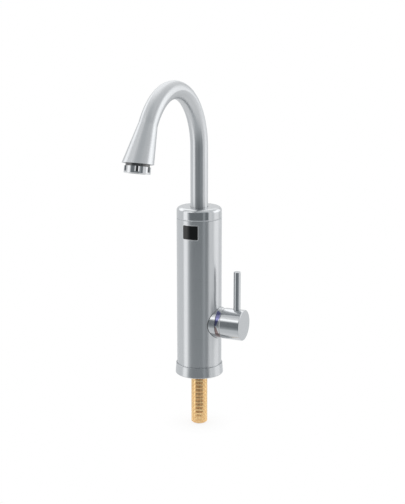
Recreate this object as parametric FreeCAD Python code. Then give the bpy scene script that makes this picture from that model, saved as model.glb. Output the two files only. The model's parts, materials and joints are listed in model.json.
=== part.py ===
import FreeCAD, Part
import math
import os

# Electric instant water heater tap, in millimetres.
# The origin is the centre of the base on the deck. +Z is up, the spout and the display
# face -Y, and the handle stands out along +X.

# Fits and gaps
SLIP = 0.1               # pieces that are slid together and then stay
RUN = 0.05               # pieces that turn or slide in use
HANDLE_GAP = 0.4         # between the handle hub and the ring behind it
RING_SQUEEZE = 0.8       # height of an O-ring in its groove over its free section
GROOVE_ROOM = 1.2        # width of an O-ring groove over the ring's section

# Body sleeve
BODY_DIAMETER = 57.0
BODY_WALL = 1.0
SEAM_HEIGHT = 203.5      # deck to the joint between sleeve and cap

# Display window and what is behind it
WINDOW_WIDTH = 19.8
WINDOW_HEIGHT = 17.6
WINDOW_DROP = 5.5        # seam to the top edge of the window
WINDOW_CORNER = 1.2
WINDOW_FLANGE = 1.0      # thickness of the lip inside the sleeve
WINDOW_LIP = 1.2         # how far the lip reaches past the cut-out
MODULE_WIDTH = 17.0
MODULE_HEIGHT = 14.0
MODULE_DEPTH = 3.0
MODULE_EDGE = 0.75
MODULE_SPACE = 0.3       # window lip to the face of the display module
DISPLAY_BOARD_HEIGHT = 17.6
BOARD_THICKNESS = 1.6
BOARD_MARGIN = 0.8       # board corners to the sleeve
BRACKET_WIDTH = 18.0
BRACKET_HEIGHT = 12.0
BRACKET_GRIP = 6.0       # how far the bracket reaches round the socket

# Top cap
CAP_HEIGHT = 14.5
CAP_EDGE = 4.8
CAP_BEVEL = 0.55         # taper at the foot of the cap, across
CAP_BEVEL_HEIGHT = 1.4   # and along the column
CAP_WALL = 4.0
CAP_SKIRT = 3.2
CAP_SPIGOT = 4.0

# Spout tube
TUBE_DIAMETER = 22.0
TUBE_WALL = 1.2
SPOUT_RISE = 73.0        # straight tube above the cap
SPOUT_ARC = 77.5         # bend radius at the middle of the tube
SPOUT_TURN = 147.0       # degrees of bend
NOZZLE_LENGTH = 46.5
NOZZLE_STEP = 0.25       # nozzle past the tube at their joint
RIM_DIAMETER = 36.0
RIM_WALL = 1.6
RIM_TILT = 12.5          # degrees that the outlet leans outwards
RIM_RECESS = 2.5

# Aerator
AERATOR_DIAMETER = 30.0
AERATOR_DROP = 10.8      # below the rim of the nozzle
AERATOR_GAP = 3.0        # rim of the nozzle to the grip ring
AERATOR_SEAL = 27.2      # rubber seal between the grip ring and the nozzle, across
AERATOR_THREAD = 24.0
AERATOR_NECK = 5.0
AERATOR_BORE = 21.0
AERATOR_LIP = 1.0
AERATOR_EDGE = 0.6
GRIP_COUNT = 6
GRIP_RADIUS = 1.9        # round-bottomed flutes in the grip ring
GRIP_DEPTH = 1.5
GRIP_MARGIN = 2.0        # plain rim below the flutes
GRIP_TURN = -5.0         # degrees from +X to the first flute
JET_RADIUS = 0.9
JET_PITCH = 3.6
JET_RINGS = 2
INSERT_FLOOR = 3.0

# Spout swivel
WIPER_WIDTH = 1.8
WIPER_HEIGHT = 2.0
WIPER_COVER = 1.0        # cap metal above the wiper ring
CAP_HOLE_GAP = 0.4
STEM_GRIP = 24.0         # stem inside the tube
STEM_SHOULDER = 2.3
STEM_DIAMETER = 18.0
STEM_BORE = 12.0
STEM_TAIL = 4.0          # stem below the socket
STEM_EDGE = 0.8
RING_SECTION = 1.8       # free section of the O-rings on the stem
RING_SPACING = 6.0
CLIP_DIAMETER = 22.0
CLIP_THICKNESS = 1.1
CLIP_DEPTH = 0.9
CLIP_GAP = 0.5
BEARING_THICKNESS = 1.2
SOCKET_FLANGE = 4.0
SOCKET_FLANGE_DIAMETER = 42.0
SOCKET_BARREL = 17.0
SOCKET_BARREL_DIAMETER = 30.0
SOCKET_NECK = 8.0
SOCKET_NECK_DIAMETER = 25.0
SOCKET_SCREWS = 4
SOCKET_SCREW_REACH = 2.4
ADAPTER_ROOM = 3.0       # stem to the floor of the adapter
ADAPTER_FLOOR = 6.0

# Small screws
SCREW_DIAMETER = 3.0
SCREW_HEAD_DIAMETER = 5.5
SCREW_HEAD = 2.0
SCREW_SLOT = 0.8
SCREW_SLOT_DEPTH = 1.0

# Heater
PORT_DIAMETER = 9.0      # drilled water ways
TERMINAL_ROOM = 6.0      # lid to the adapter above it
LID_THICKNESS = 4.0
LID_EDGE = 0.4
LID_NIPPLE_DIAMETER = 12.0
LID_NIPPLE_GRIP = 4.0
TANK_GASKET = 1.0
TANK_SPACE = 6.0         # tank to the sleeve
TANK_WALL = 1.5
TANK_FLOOR = 3.0
TANK_FLANGE = 3.0
TANK_FLANGE_SPACE = 2.2  # tank flange to the sleeve
TANK_SCREWS = 6
TANK_SCREW_INSET = 2.3   # flange edge to the screw circle
TANK_BOSS_WALL = 3.0
TANK_SOCKET = 5.0
HAIRPINS = 3
HAIRPIN_DIAMETER = 6.0
HAIRPIN_CIRCLE = 24.0
HAIRPIN_SPAN = 12.0
HAIRPIN_CLEAR = 4.0      # bend to the tank floor
HAIRPIN_PIN = 3.0        # terminal above the lid
SENSOR_DIAMETER = 4.0
SENSOR_DEPTH = 22.0
SENSOR_FLANGE = 1.0      # flange past the probe all round
SENSOR_HEAD = 2.0
CUTOUT_DIAMETER = 13.0
CUTOUT_THICKNESS = 4.0
CUTOUT_EDGE = 1.0
CUTOUT_PAD = 0.5         # pad proud of the tank wall

# Handle and valve
HANDLE_HEIGHT = 69.6
HUB_DIAMETER = 39.2
HUB_LENGTH = 26.5
HUB_WALL = 3.5
HUB_END = 4.0
HUB_EDGE = 0.9
HUB_BACK_EDGE = 1.0
HUB_BOSS_DIAMETER = 16.0
HUB_BOSS_SETBACK = 5.9
LEVER_DIAMETER = 9.0
LEVER_LENGTH = 49.8
LEVER_SETBACK = 9.7      # lever axis from the end face of the hub
LEVER_SEAT = 0.7         # spot face below the top of the hub
LEVER_THREAD = 6.0
LEVER_EDGE = 0.7
GRUB_DIAMETER = 5.0
GRUB_KEY = 2.5
GRUB_SETBACK = 6.0       # grub screw from the mouth of the boss
COLLAR_DIAMETER = 40.4
COLLAR_STAND = 0.8       # collar past the front of the sleeve
COLLAR_LIP = 1.7
COLLAR_SPIGOT_WALL = 2.2
MARK_DIAMETER = 38.0
MARK_WALL = 3.2
MARK_WIDTH = 3.2
RETAINER = 2.3
RETAINER_DIAMETER = 38.4
RETAINER_LAND = 2.0
SPINDLE_DIAMETER = 10.0
SPINDLE_SQUARE = 7.0
SPINDLE_PLATE = 2.4
SPINDLE_RING = 1.3
SPINDLE_HOLE_GAP = 3.5   # spindle to the hole in the collar
DISC_THICKNESS = 2.5
FIXED_DISC = 3.0
CARTRIDGE_DIAMETER = 26.0
CARTRIDGE_WALL = 1.6
CHAMBER_FLOOR = 9.0      # valve axis to the cartridge seat
CHAMBER_WALL = 1.3
MOUTH_LAND = 6.5
MOUTH_SETBACK = 1.9
VALVE_DIAMETER = 33.0
VALVE_BACK = 11.0
VALVE_EDGE = 2.0
VALVE_NECK = 4.0
VALVE_NECK_DIAMETER = 24.0
VALVE_OUTLET = 6.5
VALVE_OUTLET_DIAMETER = 16.0
PORT_OFFSET = 6.5        # valve ports above and below the handle axis
DISC_PORT = 6.4
SEAL_SECTION = 1.4

# Flow switch
SWITCH_DIAMETER = 23.0
SWITCH_SPIGOT_DIAMETER = 16.0
SWITCH_SPIGOT = 5.5
SOCKET_SPARE = 0.5       # free depth past the end of a spigot
SEAT_LENGTH = 2.5
PLUNGER_DIAMETER = 13.0
PLUNGER_LENGTH = 10.0
PLUNGER_TRAVEL = 4.0
PLUNGER_FLUTES = 4
PLUNGER_GROOVE = 2.0     # radius of a flute
MAGNET_DIAMETER = 6.0
MAGNET_LENGTH = 5.0
REED_DIAMETER = 3.6
REED_LENGTH = 14.0
REED_WALL = 1.4
REED_END = 0.8           # rounding of the glass capsule

# Base and shank
BASE_RIM = 1.2           # top edge of the base past the sleeve
BASE_FLARE = 1.1         # foot of the base past its top edge
BASE_HEIGHT = 13.4
BASE_FLOOR = 6.0
BASE_EDGE = 1.4
BASE_LIP = 1.0           # bevel at the inside of the top edge
GASKET_INSET = 3.3       # edge of the base to the gasket
GASKET_WIDTH = 4.0
GASKET_DEPTH = 2.0
THREAD_DIAMETER = 20.955  # G1/2 pipe thread
SHANK_LENGTH = 68.0
SHANK_CHAMFER = 1.2
SHANK_BORE = 12.0
SHANK_PILOT_DIAMETER = 24.0
SHANK_FLANGE = 3.5
SHANK_HEX = 27.0
SHANK_SPIGOT = 8.0
SHANK_SPIGOT_DIAMETER = 18.0
SHANK_RING = 2.2         # free section of the O-ring on the spigot
CHASSIS_THICKNESS = 3.0
CHASSIS_CLEAR = 1.0      # hexagon corners to the chassis plate
BASE_SCREWS = 3
BASE_SCREW_REACH = 2.4
BASE_SCREW_SUNK = 0.3

# Mains side
POWER_BOARD_SETBACK = 8.9  # back of the power board to the back of the sleeve
POWER_BOARD_MARGIN = 1.6  # side edges of the power board to the sleeve
POWER_BOARD_HEIGHT = 38.0
RELAY_WIDTH = 20.0
RELAY_CLEAR = 0.5        # relay to the flow switch
RELAY_HEIGHT = 15.0
RELAY_LIFT = 8.0
RELAY_EDGE = 0.7
TERMINAL_WIDTH = 15.0
TERMINAL_MARGIN = 2.2    # terminal corners to the sleeve
TERMINAL_HEIGHT = 11.0
TERMINAL_LIFT = 25.0
TERMINAL_POLES = 3
TERMINAL_SCREW = 2.6
GLAND_HEIGHT = 25.0
GLAND_BORE = 6.8
GLAND_NECK_DIAMETER = 10.8
GLAND_DIAMETER = 14.0
GLAND_STAND = 2.2        # gland outside the sleeve
GLAND_INSIDE = 4.5       # gland inside the sleeve

# Radii
BODY_RADIUS = BODY_DIAMETER / 2
BODY_INNER = BODY_RADIUS - BODY_WALL
TUBE_RADIUS = TUBE_DIAMETER / 2
TUBE_INNER = TUBE_RADIUS - TUBE_WALL
HUB_RADIUS = HUB_DIAMETER / 2
VALVE_RADIUS = VALVE_DIAMETER / 2
PORT_RADIUS = PORT_DIAMETER / 2
SCREW_RADIUS = SCREW_DIAMETER / 2
STEM_RADIUS = STEM_DIAMETER / 2
BARREL_RADIUS = SOCKET_BARREL_DIAMETER / 2
NECK_RADIUS = SOCKET_NECK_DIAMETER / 2
SOCKET_FLANGE_RADIUS = SOCKET_FLANGE_DIAMETER / 2
SOCKET_SCREW_RADIUS = (BARREL_RADIUS + SOCKET_FLANGE_RADIUS) / 2
CARTRIDGE_RADIUS = CARTRIDGE_DIAMETER / 2
CHAMBER_RADIUS = CARTRIDGE_RADIUS + SLIP
MOUTH_RADIUS = CHAMBER_RADIUS + CHAMBER_WALL
COLLAR_SPIGOT_RADIUS = MOUTH_RADIUS + SLIP + COLLAR_SPIGOT_WALL
MARK_SEAT_RADIUS = MARK_DIAMETER / 2 - MARK_WALL
SPINDLE_RADIUS = SPINDLE_DIAMETER / 2
TANK_RADIUS = BODY_INNER - TANK_SPACE
TANK_FLANGE_RADIUS = BODY_INNER - TANK_FLANGE_SPACE
TANK_SCREW_RADIUS = TANK_FLANGE_RADIUS - TANK_SCREW_INSET
SWITCH_RADIUS = SWITCH_DIAMETER / 2
PLUNGER_RADIUS = PLUNGER_DIAMETER / 2
AERATOR_RADIUS = AERATOR_DIAMETER / 2
AERATOR_INNER = AERATOR_BORE / 2
RIM_RADIUS = RIM_DIAMETER / 2
HEX_CORNER = SHANK_HEX / math.sqrt(3)
CHASSIS_HOLE = HEX_CORNER + CHASSIS_CLEAR
BASE_TOP_RADIUS = BODY_RADIUS + BASE_RIM
BASE_RADIUS = BASE_TOP_RADIUS + BASE_FLARE
GASKET_OUTER = BASE_RADIUS - GASKET_INSET
GASKET_INNER = GASKET_OUTER - GASKET_WIDTH
BASE_SCREW_RADIUS = (CHASSIS_HOLE + GASKET_INNER) / 2


def chord(radius, distance):
    """Half the chord of a circle at a distance from its centre."""
    return math.sqrt(radius ** 2 - distance ** 2)


# Heights of the stack on the upright axis, from the deck up
FLANGE_TOP = BASE_FLOOR + SHANK_FLANGE
SPIGOT_TOP = FLANGE_TOP + SHANK_SPIGOT
SEAT_LOW = SPIGOT_TOP + SOCKET_SPARE
SEAT_TOP = SEAT_LOW + SEAT_LENGTH
PLUNGER_STOP = SEAT_TOP + PLUNGER_LENGTH + PLUNGER_TRAVEL + RUN
VALVE_LOW = HANDLE_HEIGHT - VALVE_RADIUS - VALVE_NECK
VALVE_TOP = HANDLE_HEIGHT + VALVE_RADIUS + VALVE_OUTLET
CHASSIS_TOP = BASE_FLOOR + CHASSIS_THICKNESS

# Heights of the stack from the cap down
CAP_TOP = SEAM_HEIGHT + CAP_HEIGHT
CAP_UNDER = CAP_TOP - CAP_WALL
SOCKET_LEDGE = CAP_UNDER - SOCKET_FLANGE
BARREL_LOW = SOCKET_LEDGE - SOCKET_BARREL
NECK_LOW = BARREL_LOW - SOCKET_NECK
STEM_LOW = NECK_LOW - STEM_TAIL
ADAPTER_INSIDE = STEM_LOW - ADAPTER_ROOM
ADAPTER_LOW = ADAPTER_INSIDE - ADAPTER_FLOOR
LID_TOP = ADAPTER_LOW - TERMINAL_ROOM
LID_LOW = LID_TOP - LID_THICKNESS
TANK_TOP = LID_LOW - TANK_GASKET
TANK_INSIDE = VALVE_TOP + TANK_FLOOR
TUBE_LOW = CAP_UNDER - SOCKET_FLANGE / 2
BEARING_TOP = TUBE_LOW - STEM_SHOULDER - RUN
BEARING_LOW = BEARING_TOP - BEARING_THICKNESS

# Display
WINDOW_TOP = SEAM_HEIGHT - WINDOW_DROP
WINDOW_MIDDLE = WINDOW_TOP - WINDOW_HEIGHT / 2
LIP_RADIUS = BODY_INNER - SLIP
MODULE_FACE = chord(LIP_RADIUS - WINDOW_FLANGE - MODULE_SPACE, MODULE_WIDTH / 2)
MODULE_BACK = MODULE_FACE - MODULE_DEPTH
BOARD_BACK = MODULE_BACK - BOARD_THICKNESS

# Stations along the handle axis, from the upright axis outwards
DISC_START = CHAMBER_FLOOR + FIXED_DISC
PLATE_START = DISC_START + RUN + DISC_THICKNESS
PLATE_END = PLATE_START + SPINDLE_PLATE
VALVE_MOUTH = chord(BODY_INNER, MOUTH_RADIUS) - MOUTH_SETBACK
COLLAR_END = BODY_RADIUS + COLLAR_STAND
CARTRIDGE_END = COLLAR_END - COLLAR_LIP
MARK_END = COLLAR_END + MARK_WIDTH
RETAINER_END = MARK_END + RETAINER
HUB_START = RETAINER_END + HANDLE_GAP
HUB_FACE = HUB_START + HUB_LENGTH
HUB_FLOOR = HUB_FACE - HUB_END
BOSS_START = HUB_START + HUB_BOSS_SETBACK
LEVER_AXIS = HUB_FACE - LEVER_SETBACK
LEVER_FOOT = HANDLE_HEIGHT + HUB_RADIUS - LEVER_SEAT
GRUB_AXIS = BOSS_START + GRUB_SETBACK

# Spout bend in the plane of Y and Z
ARC_HEIGHT = CAP_TOP + SPOUT_RISE
TURN = math.radians(SPOUT_TURN)
ARC_END = FreeCAD.Vector(0, SPOUT_ARC * (math.cos(TURN) - 1), ARC_HEIGHT + SPOUT_ARC * math.sin(TURN))
ARC_END_RUN = FreeCAD.Vector(0, -math.sin(TURN), math.cos(TURN))
RIM_CENTRE = ARC_END + ARC_END_RUN * NOZZLE_LENGTH


def cylinder(radius, low, high):
    """Upright cylinder on the Z axis between two heights."""
    return Part.makeCylinder(radius, high - low, FreeCAD.Vector(0, 0, low))


def ring(outer, inner, low, high):
    """Upright tube on the Z axis."""
    return cylinder(outer, low, high).cut(cylinder(inner, low, high))


def block(low, high):
    """Box between two corners."""
    size = [b - a for a, b in zip(low, high)]
    return Part.makeBox(*size, FreeCAD.Vector(*low))


def o_ring(inner, section, height):
    """Ring of round section lying level, with its middle at a height."""
    return Part.makeTorus(inner + section / 2, section / 2, FreeCAD.Vector(0, 0, height))


def rounded_outline(corners):
    """Closed outline in the XZ plane through corners (x, z, rounding)."""
    points = [FreeCAD.Vector(x, 0, z) for x, z, rounding in corners]
    edges = []
    starts = []
    ends = []
    count = len(points)
    for index, (x, z, rounding) in enumerate(corners):
        back = (points[index - 1] - points[index]).normalize()
        on = (points[(index + 1) % count] - points[index]).normalize()
        half = back.getAngle(on) / 2
        reach = rounding / math.tan(half)
        starts.append(points[index] + back * reach)
        ends.append(points[index] + on * reach)
        if rounding:
            inward = (back + on).normalize()
            middle = points[index] + inward * (rounding / math.sin(half) - rounding)
            edges.append(Part.Arc(starts[-1], middle, ends[-1]).toShape())
    for index in range(count):
        edges.append(Part.LineSegment(ends[index - 1], starts[index]).toShape())
    return Part.Wire(Part.__sortEdges__(edges))


def turned(*corners):
    """Solid of revolution about Z of an outline of (radius, height) or (radius, height, rounding)."""
    full = [(tuple(corner) + (0.0,))[:3] for corner in corners]
    face = Part.Face(rounded_outline(full))
    return face.revolve(FreeCAD.Vector(), FreeCAD.Vector(0, 0, 1), 360)


def about_z(shape, count, start=0.0):
    """Copies of a shape at even angles round the Z axis."""
    copies = []
    for index in range(count):
        copy = shape.copy()
        copy.rotate(FreeCAD.Vector(), FreeCAD.Vector(0, 0, 1), start + 360.0 * index / count)
        copies.append(copy)
    return copies


def on_handle_axis(shape):
    """Lay a shape made about Z along the handle axis, with its own -X side up."""
    placed = shape.copy()
    placed.rotate(FreeCAD.Vector(), FreeCAD.Vector(0, 1, 0), 90)
    placed.translate(FreeCAD.Vector(0, 0, HANDLE_HEIGHT))
    return placed


def on_outlet_axis(shape):
    """Put a shape made about Z at the spout's outlet, with the rim of the nozzle at its zero height."""
    placed = shape.copy()
    placed.rotate(FreeCAD.Vector(), FreeCAD.Vector(1, 0, 0), -RIM_TILT)
    placed.translate(RIM_CENTRE)
    return placed


def window_prism(grow):
    """Rounded window outline, grown all round, carried through the front of the sleeve."""
    half = WINDOW_WIDTH / 2 + grow
    low = WINDOW_TOP - WINDOW_HEIGHT - grow
    high = WINDOW_TOP + grow
    corner = WINDOW_CORNER + grow
    outline = rounded_outline([
        (-half, low, corner), (half, low, corner), (half, high, corner), (-half, high, corner)])
    return Part.Face(outline).extrude(FreeCAD.Vector(0, -2 * BODY_RADIUS, 0))


def machine_screw(reach):
    """Cheese-head screw on Z, with its head below zero and its thread going up."""
    shank = cylinder(SCREW_RADIUS, 0, reach)
    head = cylinder(SCREW_HEAD_DIAMETER / 2, -SCREW_HEAD, 0)
    slot = block(
        (-SCREW_HEAD_DIAMETER, -SCREW_SLOT / 2, -SCREW_HEAD),
        (SCREW_HEAD_DIAMETER, SCREW_SLOT / 2, SCREW_SLOT_DEPTH - SCREW_HEAD))
    return shank.fuse(head).cut(slot)


# Base and shank

def base_flange():
    """Tapered foot with a recess for the sleeve, a gasket groove and countersunk screw holes."""
    inner = BODY_RADIUS + SLIP
    foot = turned(
        (SHANK_PILOT_DIAMETER / 2 + SLIP, 0), (BASE_RADIUS, 0, BASE_EDGE),
        (BASE_TOP_RADIUS, BASE_HEIGHT), (inner + BASE_LIP, BASE_HEIGHT),
        (inner, BASE_HEIGHT - 2 * BASE_LIP), (inner, BASE_FLOOR),
        (SHANK_PILOT_DIAMETER / 2 + SLIP, BASE_FLOOR))
    groove = ring(GASKET_OUTER, GASKET_INNER, 0, GASKET_DEPTH)
    hole = cylinder(SCREW_RADIUS + SLIP, 0, BASE_FLOOR)
    sink = countersink(SLIP)
    sink = sink.fuse(cylinder(SCREW_HEAD_DIAMETER / 2 + SLIP, 0, BASE_SCREW_SUNK))
    tool = hole.fuse(sink)
    tool.translate(FreeCAD.Vector(BASE_SCREW_RADIUS, 0, 0))
    return foot.cut([groove] + about_z(tool, BASE_SCREWS, 90))


def countersink(grow):
    """Cone of a countersunk head on Z, mouth down, grown by a clearance."""
    mouth = FreeCAD.Vector(0, 0, BASE_SCREW_SUNK)
    return Part.makeCone(SCREW_HEAD_DIAMETER / 2 + grow, SCREW_RADIUS + grow, SCREW_HEAD, mouth)


def base_screws():
    """Countersunk screws that hold the chassis plate to the base."""
    reach = BASE_FLOOR + BASE_SCREW_REACH
    screw = countersink(0).fuse(cylinder(SCREW_RADIUS, BASE_SCREW_SUNK, reach))
    screw = screw.cut(block(
        (-SCREW_RADIUS, -SCREW_SLOT / 2, BASE_SCREW_SUNK),
        (SCREW_RADIUS, SCREW_SLOT / 2, BASE_SCREW_SUNK + SCREW_SLOT_DEPTH)))
    screw.translate(FreeCAD.Vector(BASE_SCREW_RADIUS, 0, 0))
    return Part.makeCompound(about_z(screw, BASE_SCREWS, 90))


def base_gasket():
    """Flat rubber ring in the groove under the base."""
    return ring(GASKET_OUTER - SLIP, GASKET_INNER + SLIP, 0, GASKET_DEPTH)


def threaded_shank():
    """Hollow brass shank with a hexagon flange above the base and a sealed spigot."""
    radius = THREAD_DIAMETER / 2
    pilot = SHANK_PILOT_DIAMETER / 2
    spigot = SHANK_SPIGOT_DIAMETER / 2
    groove = spigot - SHANK_RING * RING_SQUEEZE
    groove_low = (FLANGE_TOP + SPIGOT_TOP - SHANK_RING * GROOVE_ROOM) / 2
    groove_high = groove_low + SHANK_RING * GROOVE_ROOM
    body = turned(
        (SHANK_BORE / 2, -SHANK_LENGTH), (radius - SHANK_CHAMFER, -SHANK_LENGTH),
        (radius, -SHANK_LENGTH + SHANK_CHAMFER), (radius, 0), (pilot, 0), (pilot, FLANGE_TOP),
        (spigot, FLANGE_TOP), (spigot, groove_low), (groove, groove_low), (groove, groove_high),
        (spigot, groove_high), (spigot, SPIGOT_TOP), (SHANK_BORE / 2, SPIGOT_TOP))
    points = []
    for index in range(7):
        angle = math.radians(60 * index)
        points.append(FreeCAD.Vector(HEX_CORNER * math.cos(angle), HEX_CORNER * math.sin(angle), BASE_FLOOR))
    hexagon = Part.Face(Part.makePolygon(points)).extrude(FreeCAD.Vector(0, 0, SHANK_FLANGE))
    hexagon = hexagon.cut(cylinder(pilot - SLIP, BASE_FLOOR, FLANGE_TOP))
    return body.fuse(hexagon).removeSplitter()


def shank_seal():
    """O-ring on the spigot of the shank."""
    middle = (FLANGE_TOP + SPIGOT_TOP) / 2
    height = SHANK_RING * RING_SQUEEZE
    return o_ring(SHANK_SPIGOT_DIAMETER / 2 - height + SLIP / 2, height, middle)


def chassis_plate():
    """Plate on the base floor that locates the hexagon and carries the power board."""
    plate = ring(BODY_INNER - SLIP, CHASSIS_HOLE, BASE_FLOOR, CHASSIS_TOP)
    screw_hole = cylinder(SCREW_RADIUS, BASE_FLOOR, BASE_FLOOR + BASE_SCREW_REACH)
    screw_hole.translate(FreeCAD.Vector(BASE_SCREW_RADIUS, 0, 0))
    return plate.cut(about_z(screw_hole, BASE_SCREWS, 90))


# Flow switch

def reed_place():
    """Distance of the reed switch from the upright axis."""
    return SWITCH_RADIUS + REED_DIAMETER / 2 + SLIP


def flow_switch_housing():
    """Upright housing with a seat and chamber for the plunger and a pocket for the reed switch."""
    middle = (SEAT_TOP + PLUNGER_STOP) / 2
    body = cylinder(SWITCH_RADIUS, FLANGE_TOP, VALVE_LOW)
    body = body.fuse(cylinder(SWITCH_SPIGOT_DIAMETER / 2, VALVE_LOW, VALVE_LOW + SWITCH_SPIGOT))
    half = REED_DIAMETER / 2 + SLIP + REED_WALL
    pocket_block = block(
        (-half, -reed_place() - half, middle - REED_LENGTH / 2 - REED_WALL),
        (half, -PLUNGER_RADIUS - REED_WALL, middle + REED_LENGTH / 2))
    pocket = Part.makeCylinder(
        REED_DIAMETER / 2 + SLIP, REED_LENGTH, FreeCAD.Vector(0, -reed_place(), middle - REED_LENGTH / 2))
    cuts = [
        cylinder(SHANK_SPIGOT_DIAMETER / 2 + SLIP, FLANGE_TOP, SEAT_LOW),
        cylinder(PORT_RADIUS, SEAT_LOW, SEAT_TOP),
        cylinder(PLUNGER_RADIUS + RUN, SEAT_TOP, PLUNGER_STOP),
        cylinder(PORT_RADIUS, PLUNGER_STOP, VALVE_LOW + SWITCH_SPIGOT),
        pocket]
    return body.fuse(pocket_block).cut(cuts).removeSplitter()


def reed_switch():
    """Glass reed capsule in its pocket."""
    middle = (SEAT_TOP + PLUNGER_STOP) / 2
    low = middle - REED_LENGTH / 2
    return turned_at(
        (0, -reed_place()), (0, low), (REED_DIAMETER / 2, low, REED_END),
        (REED_DIAMETER / 2, low + REED_LENGTH, REED_END), (0, low + REED_LENGTH))


def turned_at(place, *corners):
    """Turned solid moved to a place in plan."""
    shape = turned(*corners)
    shape.translate(FreeCAD.Vector(place[0], place[1], 0))
    return shape


def flow_plunger():
    """Fluted plunger on its seat, with a pocket for the magnet."""
    body = cylinder(PLUNGER_RADIUS, SEAT_TOP, SEAT_TOP + PLUNGER_LENGTH)
    groove = cylinder(PLUNGER_GROOVE, SEAT_TOP, SEAT_TOP + PLUNGER_LENGTH)
    groove.translate(FreeCAD.Vector(PLUNGER_RADIUS, 0, 0))
    pocket = cylinder(
        MAGNET_DIAMETER / 2 + SLIP, SEAT_TOP + PLUNGER_LENGTH - MAGNET_LENGTH, SEAT_TOP + PLUNGER_LENGTH)
    return body.cut(about_z(groove, PLUNGER_FLUTES, 180.0 / PLUNGER_FLUTES) + [pocket])


def plunger_magnet():
    """Magnet in the top of the plunger."""
    return cylinder(MAGNET_DIAMETER / 2, SEAT_TOP + PLUNGER_LENGTH - MAGNET_LENGTH, SEAT_TOP + PLUNGER_LENGTH)


# Valve and handle

def port_pair(radius, start, end):
    """Two drillings along the handle axis, above and below it."""
    drills = []
    for side in (-1, 1):
        drill = Part.makeCylinder(
            radius, end - start, FreeCAD.Vector(start, 0, HANDLE_HEIGHT + side * PORT_OFFSET),
            FreeCAD.Vector(1, 0, 0))
        drills.append(drill)
    return drills


def valve_body():
    """Brass valve body: a cartridge chamber across the column with a neck below and an outlet above."""
    barrel = on_handle_axis(turned(
        (0, -VALVE_BACK), (VALVE_RADIUS, -VALVE_BACK, VALVE_EDGE), (VALVE_RADIUS, VALVE_MOUTH - MOUTH_LAND),
        (MOUTH_RADIUS, VALVE_MOUTH - MOUTH_LAND), (MOUTH_RADIUS, VALVE_MOUTH), (CHAMBER_RADIUS, VALVE_MOUTH),
        (CHAMBER_RADIUS, CHAMBER_FLOOR), (0, CHAMBER_FLOOR)))
    neck = cylinder(VALVE_NECK_DIAMETER / 2, VALVE_LOW, HANDLE_HEIGHT)
    outlet = cylinder(VALVE_OUTLET_DIAMETER / 2, HANDLE_HEIGHT, VALVE_TOP)
    chamber = on_handle_axis(cylinder(CHAMBER_RADIUS, CHAMBER_FLOOR, VALVE_MOUTH))
    seal_pockets = port_pair(DISC_PORT / 2 + SEAL_SECTION + SLIP, CHAMBER_FLOOR - SEAL_SECTION, CHAMBER_FLOOR)
    cuts = [
        chamber,
        cylinder(SWITCH_SPIGOT_DIAMETER / 2 + SLIP, VALVE_LOW, VALVE_LOW + SWITCH_SPIGOT + SOCKET_SPARE),
        cylinder(PORT_RADIUS, VALVE_LOW, HANDLE_HEIGHT - PORT_OFFSET),
        cylinder(PORT_RADIUS, HANDLE_HEIGHT + PORT_OFFSET, VALVE_TOP)]
    cuts += port_pair(DISC_PORT / 2, 0, CHAMBER_FLOOR) + seal_pockets
    return barrel.fuse([neck, outlet]).cut(cuts).removeSplitter()


def cartridge_seals():
    """O-rings round the two ports behind the fixed disc."""
    seals = []
    for side in (-1, 1):
        centre = FreeCAD.Vector(CHAMBER_FLOOR - SEAL_SECTION / 2, 0, HANDLE_HEIGHT + side * PORT_OFFSET)
        major = DISC_PORT / 2 + SEAL_SECTION / 2 + SLIP / 2
        seals.append(Part.makeTorus(major, SEAL_SECTION / 2, centre, FreeCAD.Vector(1, 0, 0)))
    return Part.makeCompound(seals)


def fixed_disc():
    """Ceramic disc with the two ports, against the chamber floor."""
    disc = on_handle_axis(cylinder(CARTRIDGE_RADIUS, CHAMBER_FLOOR, DISC_START))
    return disc.cut(port_pair(DISC_PORT / 2, CHAMBER_FLOOR, DISC_START))


def moving_disc():
    """Ceramic disc whose channel joins the ports when the handle is turned a quarter."""
    radius = CARTRIDGE_RADIUS - CARTRIDGE_WALL - 2 * SLIP
    start = DISC_START + RUN
    disc = on_handle_axis(cylinder(radius, start, PLATE_START))
    reach = PORT_OFFSET + DISC_PORT / 2
    channel = block(
        (start, -reach, HANDLE_HEIGHT - DISC_PORT / 2),
        (start + DISC_THICKNESS / 2, reach, HANDLE_HEIGHT + DISC_PORT / 2))
    return disc.cut(channel)


def cartridge_housing():
    """Cartridge shell over the moving disc, with the bore that carries the spindle."""
    cavity = CARTRIDGE_RADIUS - CARTRIDGE_WALL
    return on_handle_axis(turned(
        (cavity, DISC_START), (CARTRIDGE_RADIUS, DISC_START), (CARTRIDGE_RADIUS, CARTRIDGE_END),
        (SPINDLE_RADIUS + RUN, CARTRIDGE_END), (SPINDLE_RADIUS + RUN, PLATE_END + SLIP),
        (cavity, PLATE_END + SLIP)))


def spindle_ring_middle():
    """Station of the O-ring on the spindle, inside the cartridge bore."""
    return (PLATE_END + CARTRIDGE_END) / 2


def cartridge_spindle():
    """Spindle with a drive plate inside the cartridge and a square end in the handle hub."""
    plate = CARTRIDGE_RADIUS - CARTRIDGE_WALL - 2 * SLIP
    groove = SPINDLE_RADIUS - SPINDLE_RING
    middle = spindle_ring_middle()
    half = SPINDLE_RING * GROOVE_ROOM / 2
    shaft = on_handle_axis(turned(
        (0, PLATE_START), (plate, PLATE_START), (plate, PLATE_END), (SPINDLE_RADIUS, PLATE_END),
        (SPINDLE_RADIUS, middle - half), (groove, middle - half), (groove, middle + half),
        (SPINDLE_RADIUS, middle + half), (SPINDLE_RADIUS, BOSS_START), (0, BOSS_START)))
    half_square = SPINDLE_SQUARE / 2
    square = block(
        (BOSS_START, -half_square, HANDLE_HEIGHT - half_square),
        (HUB_FLOOR - SLIP, half_square, HANDLE_HEIGHT + half_square))
    return shaft.fuse(square).removeSplitter()


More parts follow.
